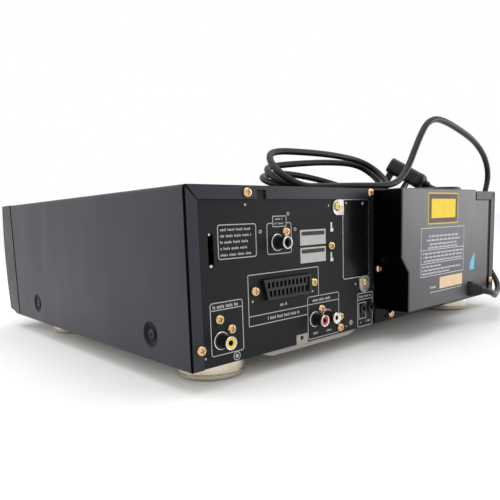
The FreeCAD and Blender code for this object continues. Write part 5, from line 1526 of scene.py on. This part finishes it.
@dataclass
class FrontMarks:
    """Symbols and rows of ticks at the keys, and the standby lamp."""

    film: float = 0.00012
    size: float = 0.0042
    kinds: dict[str, str] = field(default_factory=lambda: {
        "play_button": "play", "pause_button": "pause", "stop_button": "stop",
        "skip_forward_button": "forward", "skip_back_button": "back",
        "open_close_button": "open", "side_select_button": "side", "power_button": "power"})
    captions: dict[str, float] = field(default_factory=lambda: {
        "power_button": 8.0, "open_close_button": 13.0, "play_button": 6.0, "pause_button": 7.0,
        "stop_button": 6.0, "skip_back_button": 7.0, "skip_forward_button": 7.0})

    def symbol(self, kind: str) -> list[np.ndarray]:
        """Outlines of a transport symbol about its centre.

        Args:
            kind: the symbol's name.

        Returns:
            Closed outlines, each one (x, y) a row.
        """
        s = self.size / 2
        tri = np.array([[-s * 0.8, -s], [s, 0.0], [-s * 0.8, s]])
        bar = rounded_outline(s * 0.55, s * 2, s * 0.08, 3)
        small = tri * 0.8
        shapes = {
            "play": [tri], "stop": [rounded_outline(s * 1.9, s * 1.9, s * 0.1, 3)],
            "pause": [bar + [-s * 0.6, 0], bar + [s * 0.6, 0]],
            "forward": [small + [-s * 0.9, 0], small + [s * 0.4, 0],
                        bar * [0.7, 0.8] + [s * 1.6, 0]],
            "back": [small * [-1, 1] + [s * 0.9, 0], small * [-1, 1] + [-s * 0.4, 0],
                     bar * [0.7, 0.8] + [-s * 1.6, 0]],
            "open": [np.array([[-s, -s * 0.1], [s, -s * 0.1], [0.0, s]]),
                     rounded_outline(s * 2, s * 0.4, s * 0.05, 3) + [0, -s * 0.7]],
            "side": [rounded_outline(s * 2.4, s * 0.35, s * 0.05, 3)],
            "power": [rounded_outline(s * 0.35, s * 1.5, s * 0.1, 3)],
        }
        return shapes[kind]

    def symbols(self) -> None:
        """Lay a symbol on each key's face, riding with the key."""
        for node, kind in self.kinds.items():
            low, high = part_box(node)
            place = ((low[0] + high[0]) / 2, low[1], (low[2] + high[2]) / 2)
            sheets = [(Facing.FRONT.set_at(plate(outline, self.film), place), True)
                      for outline in self.symbol(kind)]
            fit(node.replace("button", "symbol"), sheets, Finish.PRINT, body=node)

    def legends(self) -> None:
        """Rows of plain ticks over the keys, each tick laid on the curved front where it stands."""
        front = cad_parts["front_panel"]
        sheets = []
        for node, wide in self.captions.items():
            low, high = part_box(node)
            middle, level = (low[0] + high[0]) / 2, high[2] + 0.0034
            for grid, wrap in ticks(-wide / 2, wide / 2, 0.0, 1.5, 0.0, self.film):
                centre = grid[0, 0]
                x, z = middle + centre[0], level + centre[2] - BASE_Z
                found, hit, _, _ = front.ray_cast(Vector((x, -0.5, z)), Vector((0.0, 1.0, 0.0)))
                if found:
                    facing_front = (grid - [centre[0], 0.0, BASE_Z]) * [-1, -1, 1]
                    sheets.append((facing_front + np.array([x, hit.y + 0.00003, level]), wrap))
        fit("key_legends", sheets, Finish.PRINT)

    def standby_lamp(self) -> None:
        """A small domed lamp beside the power key."""
        low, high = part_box("power_button")
        dome = [(0.0017, -0.0030), (0.0017, 0.0002), (0.0015, 0.0006), (0.0009, 0.0009),
                (CENTRE, 0.0010)]
        place = (high[0] + 0.0085, low[1] + 0.0012, (low[2] + high[2]) / 2)
        fit("standby_lamp", [(Facing.FRONT.set_at(turned(dome, 32), place), True)], Finish.LAMP)

    def build(self) -> None:
        """Lay the symbols, the rows of ticks and the lamp."""
        self.symbols()
        self.legends()
        self.standby_lamp()


# ---------------------------------------------------------------- studio

@dataclass
class Studio:
    """Floor, light and camera."""

    eye: Point = (0.3827, 0.4100, 0.1075)
    yaw: float = -131.76
    pitch: float = -7.70
    roll: float = -1.86
    focal: float = 512.6
    centre: Span = (251.87, 288.19)
    frame_width: float = 500.0
    half_floor: float = 25.0
    aim: Point = (0.0, 0.0, 0.07)
    lamps: tuple[tuple[str, Point, float, Span], ...] = (
        ("top_light", (0.1, 0.2, 1.5), 8.0, (1.6, 1.2)),
        ("side_light", (1.5, -0.8, 0.8), 5.0, (1.2, 1.2)),
        ("rear_light", (-1.65, 1.0, 0.31), 4.6, (1.0, 0.6)))

    def floor(self) -> None:
        """A pale floor that reaches far past the object."""
        half = self.half_floor
        mesh = bpy.data.meshes.new("studio_floor")
        mesh.from_pydata([(-half, -half, 0.0), (half, -half, 0.0), (-half, half, 0.0),
                          (half, half, 0.0)], [], [[0, 1, 3, 2]])
        piece = stand("studio_floor", mesh)
        g = Graph("floor_paper")
        tone = g.remap(g.noise(3.0, 2.0), 0.3, 0.7)
        mesh.materials.append(g.finish(g.blend(tone, (0.93, 0.93, 0.93), (0.95, 0.95, 0.95)),
                                       g.remap(tone, 0.0, 1.0, 0.75, 0.85)))

    def lamp(self, name: str, place: Point, power: float, size: Span) -> None:
        """A rectangular soft light aimed at the object, unseen by the camera itself.

        Args:
            name: the lamp's name.
            place: where it hangs.
            power: its power, in watts.
            size: its two sides, in metres.
        """
        data = bpy.data.lights.new(name, "AREA")
        data.shape = "RECTANGLE"
        data.energy, data.size, data.size_y = power, *size
        lamp = stand(name, data)
        lamp.location = place
        lamp.rotation_mode = "QUATERNION"
        lamp.rotation_quaternion = (Vector(self.aim) - Vector(place)).to_track_quat("-Z", "Y")
        lamp.visible_camera = False

    def lights(self) -> None:
        """A bright pale surround, a soft top light and two side lights."""
        world = bpy.data.worlds.new("studio_surround")
        world.use_nodes = True
        background = world.node_tree.nodes["Background"]
        background.inputs[0].default_value = (1.0, 1.0, 1.0, 1.0)
        background.inputs[1].default_value = 1.0
        bpy.context.scene.world = world
        bpy.context.scene.view_settings.view_transform = "Standard"
        for lamp in self.lamps:
            self.lamp(*lamp)

    def camera(self) -> None:
        """The camera from its yaw, pitch and roll, with its own optical centre."""
        yaw, pitch, roll = (math.radians(v) for v in (self.yaw, self.pitch, self.roll))
        ahead = Vector((math.cos(pitch) * math.cos(yaw), math.cos(pitch) * math.sin(yaw),
                        math.sin(pitch)))
        right = ahead.cross(Vector((0, 0, 1))).normalized()
        up = right.cross(ahead)
        r = right * math.cos(roll) + up * math.sin(roll)
        u = up * math.cos(roll) - right * math.sin(roll)
        data = bpy.data.cameras.new("studio_camera")
        data.sensor_width = 36.0
        data.lens = self.focal / self.frame_width * data.sensor_width
        data.shift_x = (self.frame_width / 2 - self.centre[0]) / self.frame_width
        data.shift_y = (self.centre[1] - self.frame_width / 2) / self.frame_width
        data.clip_start = 0.01
        camera = stand("studio_camera", data)
        turn = Matrix((r, u, -ahead)).transposed().to_4x4()
        camera.matrix_world = Matrix.Translation(self.eye) @ turn
        bpy.context.scene.camera = camera

    def build(self) -> None:
        """Set up the whole studio."""
        self.floor()
        self.lights()
        self.camera()


# ---------------------------------------------------------------- assembly

def rear_places(face: float, *places: Span) -> list[Point]:
    """Places on the back of the case from millimetres across and above its base."""
    return [(x / 1000, face, BASE_Z + z / 1000) for x, z in places]


def rear_screw_heads() -> None:
    """The plated heads of the case's, the clips' and the jacks' screws."""
    case = (rear_places(REAR_Y, (160.9, 109.0), (26.8, 110.2), (202.6, 12.9), (-202.6, 15.7),
                        (15.2, 47.0), (-3.4, 5.6))
            + rear_places(PANEL_Y, (76.0, 69.9), (66.0, 13.8), (66.0, 4.9))
            + rear_places(PANEL_Y + 0.0008, (68.6, 99.4), (34.0, 37.4)))
    jack = rear_places(PANEL_Y, (186.8, 29.8), (177.2, 22.3), (96.7, 44.1), (155.7, 44.1),
                       (88.4, 22.9), (125.2, 82.5))
    for name, node, places, turn in (("rear_heads", "rear_screws", case, 0.0),
                                     ("jack_heads", "jack_screws", jack, 0.4)):
        ScrewHeads(name, node, Facing.BACK, places, Finish.GOLD, "gold_screw", turn=turn).build()


def side_screw_heads() -> None:
    """The black case screws in their dishes, both sides in one piece."""
    heads = ScrewHeads("case_heads", "side_screws", Facing.LEFT, [], Finish.BLACKED, "black_screw",
                       0.0038, 0.0015)
    seat = SIDE_X - 0.0016
    sheets = []
    for number, y in enumerate(SIDE_SCREW_Y):
        for facing, side, turn in ((Facing.LEFT, seat, 0.5), (Facing.RIGHT, -seat, 1.1)):
            sheets.append((facing.set_at(heads.head(turn + number), (side, y, SIDE_SCREW_Z)), True))
    fit(heads.name, sheets, heads.finish, 50.0, (heads.node,))


def finish_nodes() -> None:
    """Give every carried-over node its finish."""
    for finish, nodes in CARRIED.items():
        for node in nodes:
            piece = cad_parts[node]
            piece.data.materials.clear()
            piece.data.materials.append(finish.made)
            log.info("%s wears %s", node, finish.value.name)


def main() -> None:
    """Build the studio, the lead and every other piece in order."""
    Studio().build()
    MainsLead().build()
    finish_nodes()
    rear_screw_heads()
    side_screw_heads()
    for assembly in (Feet(), RearPrint(), CoverLabels(), PhonoJacks(), PanelEdges(), FrontMarks()):
        assembly.build()


if __name__ == "__main__":
    main()
